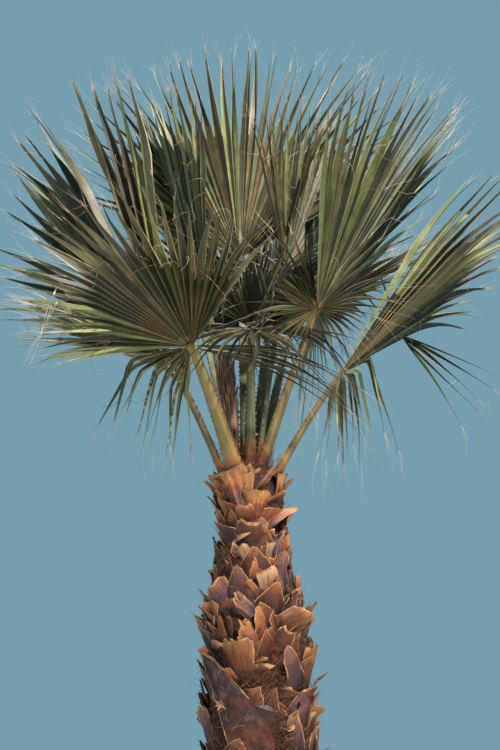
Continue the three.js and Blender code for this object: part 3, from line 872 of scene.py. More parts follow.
def add_thread(mesh, points, radius, skin):
    """A fine tapering thread of three sides along points."""
    ways = tangents(points)
    side = unit_rows(np.cross(ways, ANY_SLANT))
    other = np.cross(ways, side)
    along = np.linspace(0, 1, len(points))
    thin = (radius * (1 - THREAD_TAPER * along))[:, None]
    turns = (0.0, 2 * math.pi / 3, 4 * math.pi / 3)
    net = np.stack([points + (side * math.cos(a) + other * math.sin(a)) * thin for a in turns], axis=1)
    around = np.ones((len(points), 1)) * np.array([[0.0, 0.002, 0.004]])
    grain = np.stack([around, along[:, None] * np.ones((1, 3))], axis=2)
    mesh.add_net(net, [[skin] * 3] * (len(points) - 1), grain, closed=True)


def inside_limits(points):
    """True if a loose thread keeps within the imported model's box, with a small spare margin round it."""
    low, high = (np.array(corner) for corner in cad_box)
    spare = (high - low) * SPARE_SHARE + SPARE_LENGTH
    return bool(np.all(points >= low - spare) and np.all(points <= high + spare))


def loose_thread(threads, kind, start, way, rng):
    """One loose thread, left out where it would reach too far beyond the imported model."""
    look = LOOSE_THREADS[kind]
    points = wander(start, way, rng.uniform(*look["length"]), look["curl"], look["sag"], rng, look["steps"])
    if inside_limits(points):
        tints = look["tints"]
        add_thread(threads, points, look["radius"], rng.choice(tints) if len(tints) > 1 else tints[0])


def add_threads(threads, ray, line, ways, manner, rng):
    """Loose threads at one split between segments, along its free edge and at its tip."""
    if rng.random() > manner["threads"]:
        return
    for _ in range(rng.randint(2, 4)):
        loose_thread(threads, "tip", line[-3], ways[-1] + UP * 0.08 + scatter(0.10, rng), rng)
    if rng.random() < 0.5:
        way = tangents(ray["points"])[ray["join"]]
        loose_thread(threads, "split", ray["points"][ray["join"]], way, rng)
    if rng.random() < 0.3:
        row = rng.randint(9, 13)
        loose_thread(threads, "edge", line[row], ways[row] - UP * 0.3, rng)
    if rng.random() < manner["curls"]:
        row = rng.randint(7, 12)
        loose_thread(threads, "curled", line[row], ways[row], rng)


def make_long_threads():
    """White filaments that hang from the near fan's outer segments."""
    rng = random.Random(SEEDS["long threads"])
    mesh = Joined(["pale_thread"])
    for angle, station, length in LONG_THREADS:
        start = at_stations(run_out(FRONDS["front_left"], angle))[station]
        for _ in range(2):
            points = wander(start, LONG_THREAD_WAY, length, 0.045, 0.02, rng, 10)
            add_thread(mesh, points, LONG_THREAD_RADIUS, "pale_thread")
    mesh.build("long_threads", "leaf_blade", "thread")


# Fronds

def blade_part(frond, fan, angle):
    """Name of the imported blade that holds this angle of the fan."""
    hand = "left" if angle < 0 else "right"
    part = "skirt" if fan[hand] > LONGEST_HALF and abs(angle) > SKIRT_ANGLE else "half"
    return f"{frond}_{hand}_{part}"


def make_fan(frond, fan, manner, seed, one_piece_for=None):
    """The segments and threads of one frond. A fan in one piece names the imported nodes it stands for."""
    rng = random.Random(seed)
    rays = fan_rays(fan, manner, rng)
    parts = {}
    threads = Joined(["pale_thread", "tan_thread"])
    for left, right in zip(rays, rays[1:]):
        angle = (left["angle"] + right["angle"]) / 2
        habit = pick_habit(fan, manner, angle, STATIONS[min(left["join"], right["join"])], rng)
        if falls_out(manner, angle, rng):
            continue
        pick_tints(habit, manner, angle, rng)
        name = blade_part(frond, fan, angle) if one_piece_for is None else frond
        mesh = parts.setdefault(name, Joined(LEAF_FINISHES))
        line, ways = leaf_segment(mesh, fan, left, right, habit, rng)
        add_threads(threads, left, line, ways, manner, rng)
    for name, mesh in parts.items():
        mesh.build(f"{name}_leaf", "leaf_blade", "leaf", [name] if one_piece_for is None else one_piece_for)
    if threads.count:
        threads.build(f"{frond}_threads", "leaf_blade", "thread")


def make_fans():
    for seed, (frond, fan) in enumerate(FRONDS.items(), SEEDS["fronds"]):
        make_fan(frond, fan, MANNERS[frond], seed)
    spray = "lower_right_drooping_spray"
    make_fan(spray, DROOPING_SPRAY, SPRAY_MANNER, SEEDS["spray"], [spray])
    make_long_threads()
    make_fan("crossing_bunch", CROSSING_BUNCH, BUNCH_MANNER, SEEDS["crossing bunch"], [])
    make_fan("tangled_bunch", TANGLED_BUNCH, TANGLE_MANNER, SEEDS["tangled bunch"], [])
    make_fan("right_rosette", RIGHT_ROSETTE, ROSETTE_MANNER, SEEDS["rosette"], ["right_left_half"])


# Stalks

STALK_POINTS = 26
STALK_SIDES = 18
STALK_END = 1.12
STALK_SINK = 0.012
STALK_GRAIN = 0.12
# Places along a stalk, as shares of its length, where it starts to swell, meets its fan and has thinned out
STALK_NECK = [0.94, 1, 1.3]
TOOTH_RADIUS = 0.0055
TOOTH_HEIGHT = 0.012
TOOTH_HOOK = 35
TOOTH_SPACING = (0.018, 0.045)
TOOTH_SIZES = ([0, 0.4, 1], [1.45, 1.0, 0.55])
FIRST_TOOTH = 0.05
LAST_TOOTH = 0.03


def stalk_line(fan):
    """Points along a stalk from its foot to its hub and just into its fan, and how far along each is."""
    hub = np.array(fan["hub"])
    bearing = math.atan2(hub[0] - TRUNK_LEAN, -hub[1])
    foot = beside_axis(bearing, fan["ring"], fan["foot"])
    knee = (foot + hub) / 2 + UP * STALK_BOW
    share = np.linspace(0, 1, STALK_POINTS)
    t = share[:, None]
    path = foot * (1 - t) ** 2 + knee * 2 * t * (1 - t) + hub * t ** 2
    end = run_out(fan, 0.5)[1] - fan_axes(fan)[1] * STALK_SINK
    return np.vstack([path, end]), np.append(share, STALK_END)


def stalk_frame(path):
    ways = tangents(path)
    side = np.cross(ways, UP)
    upright = np.linalg.norm(side, axis=1)[:, None] < 0.05
    side = unit_rows(np.where(upright, np.array([1.0, 0, 0]), side))
    return ways, side, np.cross(side, ways)


def stalk_sizes(share, girth):
    """Width and thickness along a stalk: clasping at its foot, swollen under its fan and thin inside it."""
    up = np.minimum(share, 1)
    width = mix(*STALK_WIDTHS, up) * girth
    width = width * (1 + 0.6 * np.exp(-share / 0.05)) * np.interp(share, STALK_NECK, [1, 1.25, 0.1])
    thick = mix(*STALK_THICKNESSES, up) * girth
    return width, thick * np.interp(share, STALK_NECK, [1, 1.2, 0.3])


def close_ends():
    """Merges the seam of the active rolled-up grid and closes both of its ends."""
    bpy.ops.object.mode_set(mode="EDIT")
    bpy.ops.mesh.select_all(action="SELECT")
    bpy.ops.mesh.remove_doubles(threshold=0.0004)
    bpy.ops.mesh.select_all(action="DESELECT")
    bpy.ops.mesh.select_mode(type="EDGE")
    bpy.ops.mesh.select_non_manifold()
    bpy.ops.mesh.edge_face_add()
    bpy.ops.mesh.select_all(action="SELECT")
    bpy.ops.mesh.normals_make_consistent(inside=False)
    bpy.ops.object.mode_set(mode="OBJECT")


def make_stalk(frond, fan, seed):
    """One stalk, rolled up from a flat grid: channelled above, round below, clasping at the foot."""
    path, share = stalk_line(fan)
    ways, side, above = stalk_frame(path)
    length = np.concatenate([[0], np.cumsum(np.linalg.norm(np.diff(path, axis=0), axis=1))])
    width, thick = stalk_sizes(share, fan["girth"])
    last = len(path) - 1
    deselect_all()
    bpy.ops.mesh.primitive_grid_add(x_subdivisions=STALK_SIDES, y_subdivisions=last, size=1, calc_uvs=True)
    piece = bpy.context.object
    piece.name = f"{frond}_stalk_skin"
    mesh = piece.data
    flat = np.array([(v.co.x + 0.5, v.co.y + 0.5) for v in mesh.vertices])
    rows = np.rint(flat[:, 1] * last).astype(int)
    turn = flat[:, 0] * 2 * math.pi
    across = np.cos(turn) * width[rows] / 2
    lower = np.sin(turn)
    channel = (0.22 * np.cos(turn) ** 2 - 0.10) * thick[rows]
    rise = np.where(lower <= 0, channel, -np.abs(lower) ** 0.8 * thick[rows])
    points = path[rows] + side[rows] * across[:, None] + above[rows] * (rise + 0.3 * thick[rows])[:, None]
    mesh.vertices.foreach_set("co", points.ravel())
    layer = mesh.uv_layers[0]
    layer.name = "grain"
    for loop in mesh.loops:
        corner = loop.vertex_index
        layer.data[loop.index].uv = (flat[corner, 0] * STALK_GRAIN, length[rows[corner]])
    close_ends()
    # Stalks not listed get the dark tint, which is painted shade.
    mesh.materials.append(FINISHES[STALK_LOOKS.get(frond, "stalk_painted_shade")])
    finish_piece(piece, "stalk", [f"{frond}_stalk"])
    make_teeth(frond, path, ways, side, above, width, length, seed)


def tooth_shape():
    """One hooked prickle, drawn out from a small cone: its base at the origin, pointing along +X."""
    deselect_all()
    bpy.ops.mesh.primitive_cone_add(vertices=5, radius1=TOOTH_RADIUS, radius2=0.0, depth=TOOTH_HEIGHT,
                                    end_fill_type="NOTHING")
    piece = bpy.context.object
    bpy.ops.object.mode_set(mode="EDIT")
    bpy.ops.mesh.select_all(action="SELECT")
    bpy.ops.mesh.bisect(plane_co=(0, 0, 0), plane_no=(0, 0, 1))
    bpy.ops.mesh.select_all(action="SELECT")
    bpy.ops.transform.translate(value=(0, 0, TOOTH_HEIGHT / 2))
    bpy.ops.transform.resize(value=(0.55, 1.25, 1.0), center_override=(0, 0, 0))
    bpy.ops.object.mode_set(mode="OBJECT")
    points = np.array([v.co for v in piece.data.vertices])
    points = np.stack([points[:, 2], points[:, 1] + TOOTH_HOOK * points[:, 2] ** 2, points[:, 0]], axis=1)
    faces = [list(f.vertices)[::-1] for f in piece.data.polygons]
    bpy.data.objects.remove(piece)
    return points, faces


def make_teeth(frond, path, ways, side, above, width, length, seed):
    """Hooked teeth along both edges of a stalk, larger near its foot."""
    rng = random.Random(seed)
    points, faces = TOOTH
    mesh = Joined(["tooth"])
    hub = STALK_POINTS - 1
    for hand in (-1, 1):
        run = FIRST_TOOTH
        while run < length[hub] - LAST_TOOTH:
            row = float(np.interp(run, length[:STALK_POINTS], np.arange(STALK_POINTS)))
            low = int(row)
            high = min(low + 1, hub)
            part = row - low
            place = mix(path[low], path[high], part) + above[low] * 0.004
            place = place + side[low] * hand * mix(width[low], width[high], part) * 0.485
            out = unit(side[low] * hand + above[low] * rng.gauss(0, 0.15))
            along = ways[low] * rng.choice([1, 1, -1])
            third = unit(np.cross(out, along))
            shape = points * (rng.uniform(0.7, 1.25) * np.interp(run / length[hub], *TOOTH_SIZES))
            placed = place + shape[:, :1] * out + shape[:, 1:2] * along + shape[:, 2:3] * third
            mesh.add(placed, faces, ["tooth"] * len(faces), points[:, :2])
            run += rng.uniform(*TOOTH_SPACING)
    mesh.build(f"{frond}_teeth", "leaf_stalk", "tooth")


def make_stalks():
    for seed, (frond, fan) in enumerate(FRONDS.items(), SEEDS["stalks"]):
        make_stalk(frond, fan, seed)


# Leaf bases on the trunk

PLATE_WIDTH = 0.20
PLATE_LENGTH = 0.30
PLATE_THICKNESS = 0.008
PLATE_COLUMNS = [-1, -0.93, -0.74, -0.5, -0.25, 0, 0.25, 0.5, 0.74, 0.93, 1]
PLATE_ROWS = [0, 0.2, 0.38, 0.54, 0.68, 0.8, 0.9, 1]
PLATE_FINISHES = [*PLATE_LOOKS, "plate_rim", "plate_inner"]
HIDDEN_FOOT = 0.09
FOOT_DEPTH = 0.014
# How close the waves, ripples and jags of the plates are, across and along, and how much of them shows
WAVES = (11, 6)
RIPPLES = (34, 5)
JAGS = (60, 0)
WAVE_STAND = 0.022
RIPPLE_STAND = 0.009
JAG_SHARE = 0.17
FRAY_LEAST = 5
FRAY_TO_THE_METRE = 80
LOWEST_FIBRE_POINT = 0.004

# Outlines of the leaf bases. apex: where the top is, from -1 at the left edge to 1 at the right. fall: how
# far the sides drop away from it. bow: how rounded they are. notch: hollow in the top. foot: width at the
# foot. rim: width of the worn border.
PLATE_OUTLINES = {
    "shield": dict(apex=0.08, fall=0.60, bow=1.0, notch=0.0, foot=0.95, rim=0.010),
    "leaner": dict(apex=-0.5, fall=0.62, bow=0.95, notch=0.0, foot=1.0, rim=0.009),
    "squared": dict(apex=0.2, fall=0.10, bow=1.5, notch=0.05, foot=0.85, rim=0.013),
    "strip": dict(apex=0.5, fall=0.26, bow=1.0, notch=0.0, foot=1.1, rim=0.010),
    "horned": dict(apex=0.0, fall=0.55, bow=3.0, notch=0.24, foot=0.95, rim=0.020),
    "blade": dict(apex=0.0, fall=0.78, bow=1.2, notch=0.0, foot=1.0, rim=0.008),
    "stub": dict(apex=0.2, fall=0.12, bow=1.0, notch=0.0, foot=1.1, rim=0.010),
}


def plate_top(outline, across):
    reach = 1 + abs(outline["apex"])
    sides = outline["fall"] * (np.abs(across - outline["apex"]) / reach) ** outline["bow"]
    return 1 - sides - outline["notch"] * np.maximum(0, 1 - (across / 0.6) ** 2)


def mark_rim(mesh, across, step):
    """Marks the faces of the worn border with 1: the last row, and both sides of the upper part."""
    edge = len(PLATE_ROWS) - 2
    for face in mesh.polygons:
        level = min(step[i] for i in face.vertices)
        outermost = max(abs(across[i]) for i in face.vertices) == 1
        face.material_index = 1 if level == edge or (outermost and level > edge * 0.4) else 0


def thicken(piece):
    """Gives a plate its thickness. A back's mark is 2 more than its front's, a side's 1 more."""
    for _ in range(4):
        piece.data.materials.append(None)
    wall = piece.modifiers.new("wall", "SOLIDIFY")
    wall.thickness = PLATE_THICKNESS
    wall.offset = -1
    wall.material_offset = 2
    wall.material_offset_rim = 1
    bpy.ops.object.modifier_apply(modifier=wall.name)


def plate_shape(kind):
    """One leaf-base plate, drawn out from a flat grid: its points, its faces and their marks."""
    outline = PLATE_OUTLINES[kind]
    columns, rows = len(PLATE_COLUMNS) - 1, len(PLATE_ROWS) - 1
    deselect_all()
    bpy.ops.mesh.primitive_grid_add(x_subdivisions=columns, y_subdivisions=rows, size=1, calc_uvs=False)
    piece = bpy.context.object
    mesh = piece.data
    flat = np.array([v.co for v in mesh.vertices])
    across = np.interp((flat[:, 0] + 0.5) * columns, np.arange(columns + 1), PLATE_COLUMNS)
    step = np.rint((flat[:, 1] + 0.5) * rows)
    share = np.interp(step, np.arange(rows + 1), PLATE_ROWS)
    top = plate_top(outline, across) * PLATE_LENGTH
    up = np.where(step == rows, top, share / PLATE_ROWS[-2] * (top - outline["rim"]))
    width = PLATE_WIDTH / 2 * mix(outline["foot"], 1.0, up / PLATE_LENGTH)
    points = np.stack([across * width, up, np.zeros(len(up))], axis=1)
    mesh.vertices.foreach_set("co", points.ravel())
    mark_rim(mesh, across, step)
    thicken(piece)
    points = np.array([v.co for v in mesh.vertices])
    faces = [list(face.vertices) for face in mesh.polygons]
    marks = [min(face.material_index, 3) for face in mesh.polygons]
    bpy.data.objects.remove(piece)
    return points, faces, marks


def uneven(x, y, waves, place):
    """Smooth unevenness over a flat patch. waves: how close. place: where in the noise it starts."""
    places = [(px * waves[0] + place[0], py * waves[1] + place[1], place[2]) for px, py in zip(x, y)]
    return np.array([noise.noise(Vector(where)) for where in places])


def stick_plate(mesh, kind, bearing, height, length, width, slant, lift, outside, rng, flare=0.4,
                cup=0.032):
    """Copies a plate onto the trunk: buried at its foot, arched, standing off at its tip, and warped."""
    points, faces, marks = PLATES[kind]
    skins = [outside, "plate_rim", "plate_inner", "plate_rim"]
    along = points[:, 1] / PLATE_LENGTH
    across = points[:, 0] / (PLATE_WIDTH / 2)
    x = across * width / 2
    y = along * (length + HIDDEN_FOOT) - HIDDEN_FOOT
    shift = rng.random() * 50
    wave = uneven(x, y, WAVES, (shift, 0, shift))
    jag = uneven(x, y, JAGS, (0, shift, 3.0))
    ripple = uneven(x, y, RIPPLES, (0, 0, shift))
    y = y + jag * JAG_SHARE * length * smooth_step(along, 0.5, 0.9)
    torn = ripple * min(0.010, 0.08 * width) * smooth_step(np.abs(across), 0.6, 1.0)
    x = x + wave * min(0.012, 0.1 * width) + torn
    tilt = rng.gauss(0, 0.018)
    out = -FOOT_DEPTH + lift * np.clip(along, 0, 1) ** 1.2 + wave * WAVE_STAND + ripple * RIPPLE_STAND
    out += tilt * across * along
    out += min(cup, 0.16 * width) * (0.6 - across ** 2) * (0.4 + 0.6 * along)
    out += flare * 0.05 * smooth_step(along, 0.6, 1.05) ** 2 * (1 + 0.8 * across * rng.choice([-1, 1]))
    out += points[:, 2]
    placed = on_trunk(x, y, out, bearing, height, slant)
    grain = np.stack([x + shift, y], axis=1)
    mesh.add(placed, faces, [skins[mark] for mark in marks], grain, np.clip(along, 0, 1))
    fray(placed, along, across, width, rng)


def fray(placed, along, across, width, rng):
    """Short fibres that stand off the worn top of a plate."""
    rim = np.flatnonzero((along > 0.8) | ((np.abs(across) > 0.9) & (along > 0.4)))
    foot = placed[np.argmin(along)]
    for _ in range(int(FRAY_LEAST + width * FRAY_TO_THE_METRE)):
        start = placed[rng.choice(list(rim))]
        way = unit(start - foot) + scatter(0.5, rng)
        points = wander(start, way, rng.uniform(0.008, 0.03), 0.25, 0.0, rng, 3)
        points[:, 2] = np.maximum(points[:, 2], LOWEST_FIBRE_POINT)
        radius = rng.uniform(0.0005, 0.0011)
        add_thread(FRINGE, points, radius, rng.choice(["fibre_tan", "fibre_dark", "fibre_tan"]))


# Leaf bases that the photograph shows. Its pixels count from its upper left corner.

PHOTO_WIDTH, PHOTO_HEIGHT = 500, 750
PIXELS_PER_LENGTH = CAMERA_LENS / CAMERA_SENSOR * PHOTO_HEIGHT
BARK_DEPTH = 0.05
WIDEST_BEARING = 74
OVERLAP_WIDTH = 1.4
# From the bottom up: kind, pixels of foot and tip, width in pixels, how far the tip stands off, finish
FRONT_PLATES = [
    ("blade", (266, 766), (204, 650), 46, 0.060, "plate_huge"),
    ("shield", (226, 762), (240, 735), 30, 0.020, "plate_brown"),
    ("strip", (270, 712), (300, 724), 14, 0.030, "plate_brown"),
    ("shield", (246, 702), (262, 684), 26, 0.022, "plate_brown"),
    ("leaner", (276, 712), (284, 690), 20, 0.025, "plate_brown"),
    ("leaner", (297, 750), (306, 713), 28, 0.030, "plate_purple"),
    ("strip", (288, 736), (319, 681), 16, 0.045, "plate_purple"),
    ("squared", (208, 724), (203, 690), 12, 0.020, "plate_pale"),
    ("strip", (253, 689), (306, 692), 8, 0.030, "plate_brown"),
    ("leaner", (303, 686), (288, 641), 21, 0.075, "plate_purple"),
    ("squared", (318, 684), (317, 643), 18, 0.060, "plate_orange"),
    ("squared", (234, 674), (234, 637), 26, 0.065, "plate_orange"),
    ("strip", (243, 670), (276, 663), 6, 0.034, "plate_pale"),
    ("strip", (240, 661), (270, 656), 5, 0.038, "plate_brown"),
    ("strip", (266, 655), (236, 624), 15, 0.060, "plate_orange"),
    ("shield", (270, 652), (264, 628), 21, 0.045, "plate_brown"),
    ("leaner", (213, 647), (196, 622), 14, 0.045, "plate_purple"),
    ("leaner", (304, 646), (304, 633), 11, 0.050, "plate_orange"),
    ("leaner", (217, 640), (226, 617), 17, 0.055, "plate_orange"),
    ("strip", (206, 650), (222, 640), 7, 0.050, "plate_pale"),
    ("horned", (232, 652), (222, 636), 12, 0.045, "plate_brown"),
    ("leaner", (210, 634), (205, 616), 12, 0.045, "plate_orange"),
    ("stub", (204, 630), (216, 612), 6, 0.050, "plate_pale"),
    ("strip", (246, 634), (240, 620), 13, 0.040, "plate_brown"),
    ("horned", (288, 640), (296, 624), 16, 0.045, "plate_brown"),
    ("strip", (281, 636), (251, 613), 18, 0.055, "plate_orange"),
    ("stub", (306, 626), (318, 619), 11, 0.050, "plate_orange"),
    ("strip", (281, 627), (308, 609), 14, 0.060, "plate_orange"),
    ("shield", (266, 621), (260, 600), 22, 0.040, "plate_brown"),
    ("leaner", (297, 613), (303, 590), 14, 0.050, "plate_purple"),
    ("strip", (215, 611), (233, 595), 10, 0.045, "plate_orange"),
    ("strip", (251, 614), (231, 595), 11, 0.050, "plate_brown"),
    ("squared", (220, 608), (211, 585), 25, 0.055, "plate_purple"),
    ("shield", (273, 606), (275, 580), 27, 0.055, "plate_brown"),
    ("shield", (235, 597), (237, 563), 28, 0.055, "plate_purple"),
    ("squared", (276, 591), (264, 567), 17, 0.050, "plate_pale"),
    ("shield", (285, 582), (284, 548), 21, 0.050, "plate_purple"),
    ("leaner", (225, 575), (233, 555), 23, 0.045, "plate_brown"),
    ("shield", (254, 565), (253, 543), 29, 0.050, "plate_brown"),
    ("horned", (215, 561), (212, 544), 12, 0.040, "plate_pale"),
    ("stub", (275, 556), (275, 540), 11, 0.045, "plate_pale"),
    ("leaner", (286, 556), (288, 533), 11, 0.040, "plate_purple"),
    ("stub", (223, 544), (249, 532), 5, 0.050, "plate_pale"),
    ("leaner", (269, 542), (272, 520), 27, 0.045, "plate_orange"),
    ("horned", (251, 541), (253, 511), 30, 0.055, "plate_brown"),
    ("leaner", (225, 539), (212, 516), 22, 0.045, "plate_purple"),
    ("shield", (227, 527), (231, 509), 18, 0.045, "plate_brown"),
    ("strip", (273, 517), (278, 505), 15, 0.040, "plate_orange"),
    ("horned", (244, 513), (242, 498), 17, 0.040, "plate_orange"),
    ("leaner", (226, 511), (219, 493), 24, 0.040, "plate_orange"),
    ("squared", (260, 505), (261, 488), 24, 0.040, "plate_striped"),
    ("squared", (236, 499), (229, 466), 22, 0.045, "plate_striped"),
    ("squared", (246, 489), (246, 470), 13, 0.025, "plate_striped"),
    ("horned", (254, 484), (259, 458), 19, 0.030, "plate_striped"),
    ("stub", (262, 482), (281, 466), 6, 0.045, "plate_brown"),
    ("stub", (258, 492), (273, 478), 6, 0.040, "plate_orange"),
    ("stub", (271, 503), (290, 490), 6, 0.045, "plate_orange"),
    ("stub", (277, 521), (297, 507), 5, 0.045, "plate_orange"),
    ("stub", (219, 480), (212, 464), 7, 0.035, "plate_orange"),
    ("stub", (218, 491), (210, 480), 6, 0.035, "plate_orange"),
    ("stub", (216, 502), (210, 490), 6, 0.035, "plate_orange"),
]
# The pale torn star: its pixel, how far it stands off, and the bearing and length of each arm
STAR_PIXEL = (222, 705)
STAR_LIFT = 0.062
STAR_ARMS = ((70, 0.030), (140, 0.034), (195, 0.022), (250, 0.030), (325, 0.042), (20, 0.024))


def on_bark(pixel):
    """Bearing and height on the trunk behind a pixel of the photograph, and how far that lies beyond it."""
    right = (pixel[0] - PHOTO_WIDTH / 2) / PIXELS_PER_LENGTH
    rise = (PHOTO_HEIGHT / 2 - pixel[1]) / PIXELS_PER_LENGTH
    tilt = math.radians(CAMERA_PITCH - 90)
    forward, upward = math.cos(tilt) - rise * math.sin(tilt), math.sin(tilt) + rise * math.cos(tilt)
    depth = -0.2
    for _ in range(4):
        reach = (depth - CAMERA_PLACE[1]) / forward
        height = CAMERA_PLACE[2] + reach * upward
        radius = float(core_radius(height)) + BARK_DEPTH
        offset = (CAMERA_PLACE[0] + reach * right - axis_x(height)) / radius
        bearing = math.degrees(math.asin(max(-1.0, min(1.0, offset))))
        bearing = max(-WIDEST_BEARING, min(WIDEST_BEARING, bearing))
        depth = -radius * math.cos(math.radians(bearing))
    beyond = radius * max(0.0, abs(offset) - 1.0)
    return bearing, height, beyond


def stick_by_pixels(mesh, kind, foot, tip, width, lift, outside, rng):
    """A plate whose foot and tip cover two pixels of the photograph, as wide as so many pixels."""
    foot_bearing, foot_height, _ = on_bark(foot)
    tip_bearing, tip_height, beyond = on_bark(tip)
    aside = math.radians(tip_bearing - foot_bearing) * (float(core_radius(tip_height)) + PLATE_STAND)
    rise = tip_height - foot_height
    slant = math.degrees(math.atan2(aside, rise))
    overlap = 1.0 if kind == "stub" else OVERLAP_WIDTH
    metres = overlap * width * -CAMERA_PLACE[1] / PIXELS_PER_LENGTH
    stick_plate(mesh, kind, foot_bearing, foot_height, math.hypot(aside, rise), metres, slant,
                lift + beyond, outside, rng, flare=0.3, cup=0.03)


def make_front_plates():
    rng = random.Random(SEEDS["front plates"])
    mesh = Joined(PLATE_FINISHES)
    for kind, foot, tip, width, lift, outside in FRONT_PLATES:
        stick_by_pixels(mesh, kind, foot, tip, width, lift, outside, rng)
    mesh.build("front_leaf_bases", "trunk_bark", "plate", ["trunk"])


def make_star():
    """A pale torn star where the skin of the lowest plate in front has split."""
    bearing, height, _ = on_bark(STAR_PIXEL)
    mesh = Joined(["plate_rim"])
    for turn, reach in STAR_ARMS:
        a = math.radians(turn)
        t = np.array([0.0, 0.35, 0.7, 1.0])[:, None]
        half = np.array([0.007, 0.006, 0.0035, 0.0004])[:, None] * np.array([[-1.0, 0.0, 1.0]])
        across = t * reach * math.cos(a) - half * math.sin(a)
        up = t * reach * math.sin(a) + half * math.cos(a)
        out = STAR_LIFT + 0.012 * t ** 2 - 0.15 * np.abs(half)
        net = on_trunk(across, up, out, bearing, height)
        mesh.add_net(net, [["plate_rim"] * 2] * 3, np.stack([across, up], axis=2))
    mesh.build("torn_star", "trunk_bark", "thread")


# Leaf bases all round, by rule

# Round the sides and back of the top: kind, bearing, height, length, width, slant, stand of the tip
FRESH_PLATES = [
    ("squared", 80, 3.12, 0.18, 0.15, 4, 0.045), ("squared", 125, 3.10, 0.19, 0.16, 5, 0.045),
    ("squared", 165, 3.12, 0.18, 0.16, -6, 0.045), ("squared", 208, 3.10, 0.19, 0.16, 4, 0.045),
    ("squared", 250, 3.12, 0.18, 0.15, -4, 0.045), ("squared", 285, 3.12, 0.17, 0.14, 5, 0.040),
    ("horned", 100, 3.00, 0.15, 0.16, 10, 0.050), ("leaner", 145, 3.00, 0.16, 0.17, -12, 0.050),
    ("shield", 190, 3.00, 0.15, 0.17, 8, 0.050), ("leaner", 232, 3.00, 0.16, 0.16, 14, 0.050),
    ("horned", 272, 3.00, 0.15, 0.16, -8, 0.045), ("stub", 95, 3.15, 0.15, 0.05, 24, 0.110),
    ("stub", 140, 3.05, 0.15, 0.06, 18, 0.110), ("stub", 182, 3.14, 0.15, 0.05, -18, 0.110),
    ("stub", 225, 3.06, 0.15, 0.06, 16, 0.110), ("stub", 262, 3.14, 0.14, 0.05, -22, 0.100),
]

SPIRAL_COUNT = 230
SPIRAL_TOP = 3.08
SPIRAL_KINDS = ["shield", "leaner", "strip", "squared", "horned", "shield", "strip"]
TIERS = 5
LOW_PLATES = ["plate_purple", "plate_brown", "plate_purple", "plate_pale"]
HIGH_PLATES = ["plate_brown", "plate_orange", "plate_purple", "plate_orange"]
SPLINTER_COUNT = 320
SPLINTER_KINDS = ["strip", "leaner", "shield", "stub", "horned"]
SPLINTER_PLATES = ["plate_orange", "plate_brown", "plate_pale", "plate_orange"]
# The part of the trunk that the photograph's plates cover, the strips beside it, and its widest plate
FRONT_HEIGHTS = (1.72, 3.3)
FRONT_SPREAD = 74
SIDE_SPREAD = 106
HUGE_PLATE_TOP = 2.26
HUGE_PLATE_SIDE = 20


def faces_front(height, bearing, spread):
    return FRONT_HEIGHTS[0] < height < FRONT_HEIGHTS[1] and abs(bearing) < spread


def make_fresh_plates():
    rng = random.Random(SEEDS["fresh plates"])
    mesh = Joined(PLATE_FINISHES)
    for kind, bearing, height, length, width, slant, lift in FRESH_PLATES:
        outside = "plate_orange" if kind == "stub" else "plate_striped"
        stick_plate(mesh, kind, bearing, height, length, width, slant, lift, outside, rng, cup=0.02)
    mesh.build("fresh_leaf_bases", "trunk_bark", "plate", ["trunk"])


def make_spiral_plates():
    """Leaf bases all the way up, in the spiral in which the leaves grew, larger lower down."""
    rng = random.Random(SEEDS["spiral plates"])
    tiers = [Joined(PLATE_FINISHES) for _ in range(TIERS)]
    for number in range(SPIRAL_COUNT):
        share = number / (SPIRAL_COUNT - 1)
        flare = rng.uniform(0.0, 0.8)
        height = SPIRAL_TOP * share + rng.uniform(-0.02, 0.02)
        bearing = (number * GOLDEN_ANGLE + rng.uniform(-9, 9)) % 360
        bearing = bearing - 360 if bearing > 180 else bearing
        size = mix(1.35, 0.8, share)
        if faces_front(height, bearing, FRONT_SPREAD):
            continue
        kind = rng.choice(SPIRAL_KINDS)
        slant = rng.choice([-1, 1]) * rng.uniform(12, 40)
        if faces_front(height, bearing, SIDE_SPREAD):
            slant *= 0.4
            size *= 0.75
        lift = rng.uniform(0.03, 0.06)
        outside = rng.choice(HIGH_PLATES if rng.random() < share else LOW_PLATES)
        length = rng.uniform(0.19, 0.27) * size
        width = rng.uniform(0.17, 0.24) * size
        tier = tiers[min(TIERS - 1, int(share * TIERS))]
        stick_plate(tier, kind, bearing, max(height, 0.03), length, width, slant, lift, outside, rng, flare)
    for level, mesh in enumerate(tiers, 1):
        mesh.build(f"leaf_bases_tier_{level}", "trunk_bark", "plate", ["trunk"])


def make_splinters():
    """Small torn pieces of old bases, wedged at all slants between the plates."""
    rng = random.Random(SEEDS["splinters"])
    mesh = Joined(PLATE_FINISHES)
    for _ in range(SPLINTER_COUNT):
        height = rng.uniform(0.05, 3.05)
        bearing = rng.uniform(-180, 180)
        in_front = faces_front(height, bearing, FRONT_SPREAD)
        if in_front and height < HUGE_PLATE_TOP and bearing < HUGE_PLATE_SIDE:
            continue
        kind = rng.choice(SPLINTER_KINDS)
        outside = rng.choice(SPLINTER_PLATES)
        length = rng.uniform(0.03, 0.07) if in_front else rng.uniform(0.06, 0.15)
        width = rng.uniform(0.05, 0.11)
        slant = rng.uniform(-65, 65)
        lift = rng.uniform(0.025, 0.05)
        flare = rng.uniform(0.1, 0.7)
        stick_plate(mesh, kind, bearing, height, length, width, slant, lift, outside, rng, flare, 0.012)
    mesh.build("torn_leaf_bases", "trunk_bark", "plate", ["trunk"])


# Trunk core and fibres

CORE_RINGS = 90
CORE_SIDES = 64
CORE_SHORTER = 0.02
CORE_RELIEF = 0.014
CORE_GRAIN = 0.27
FIBRE_COUNT = 1000
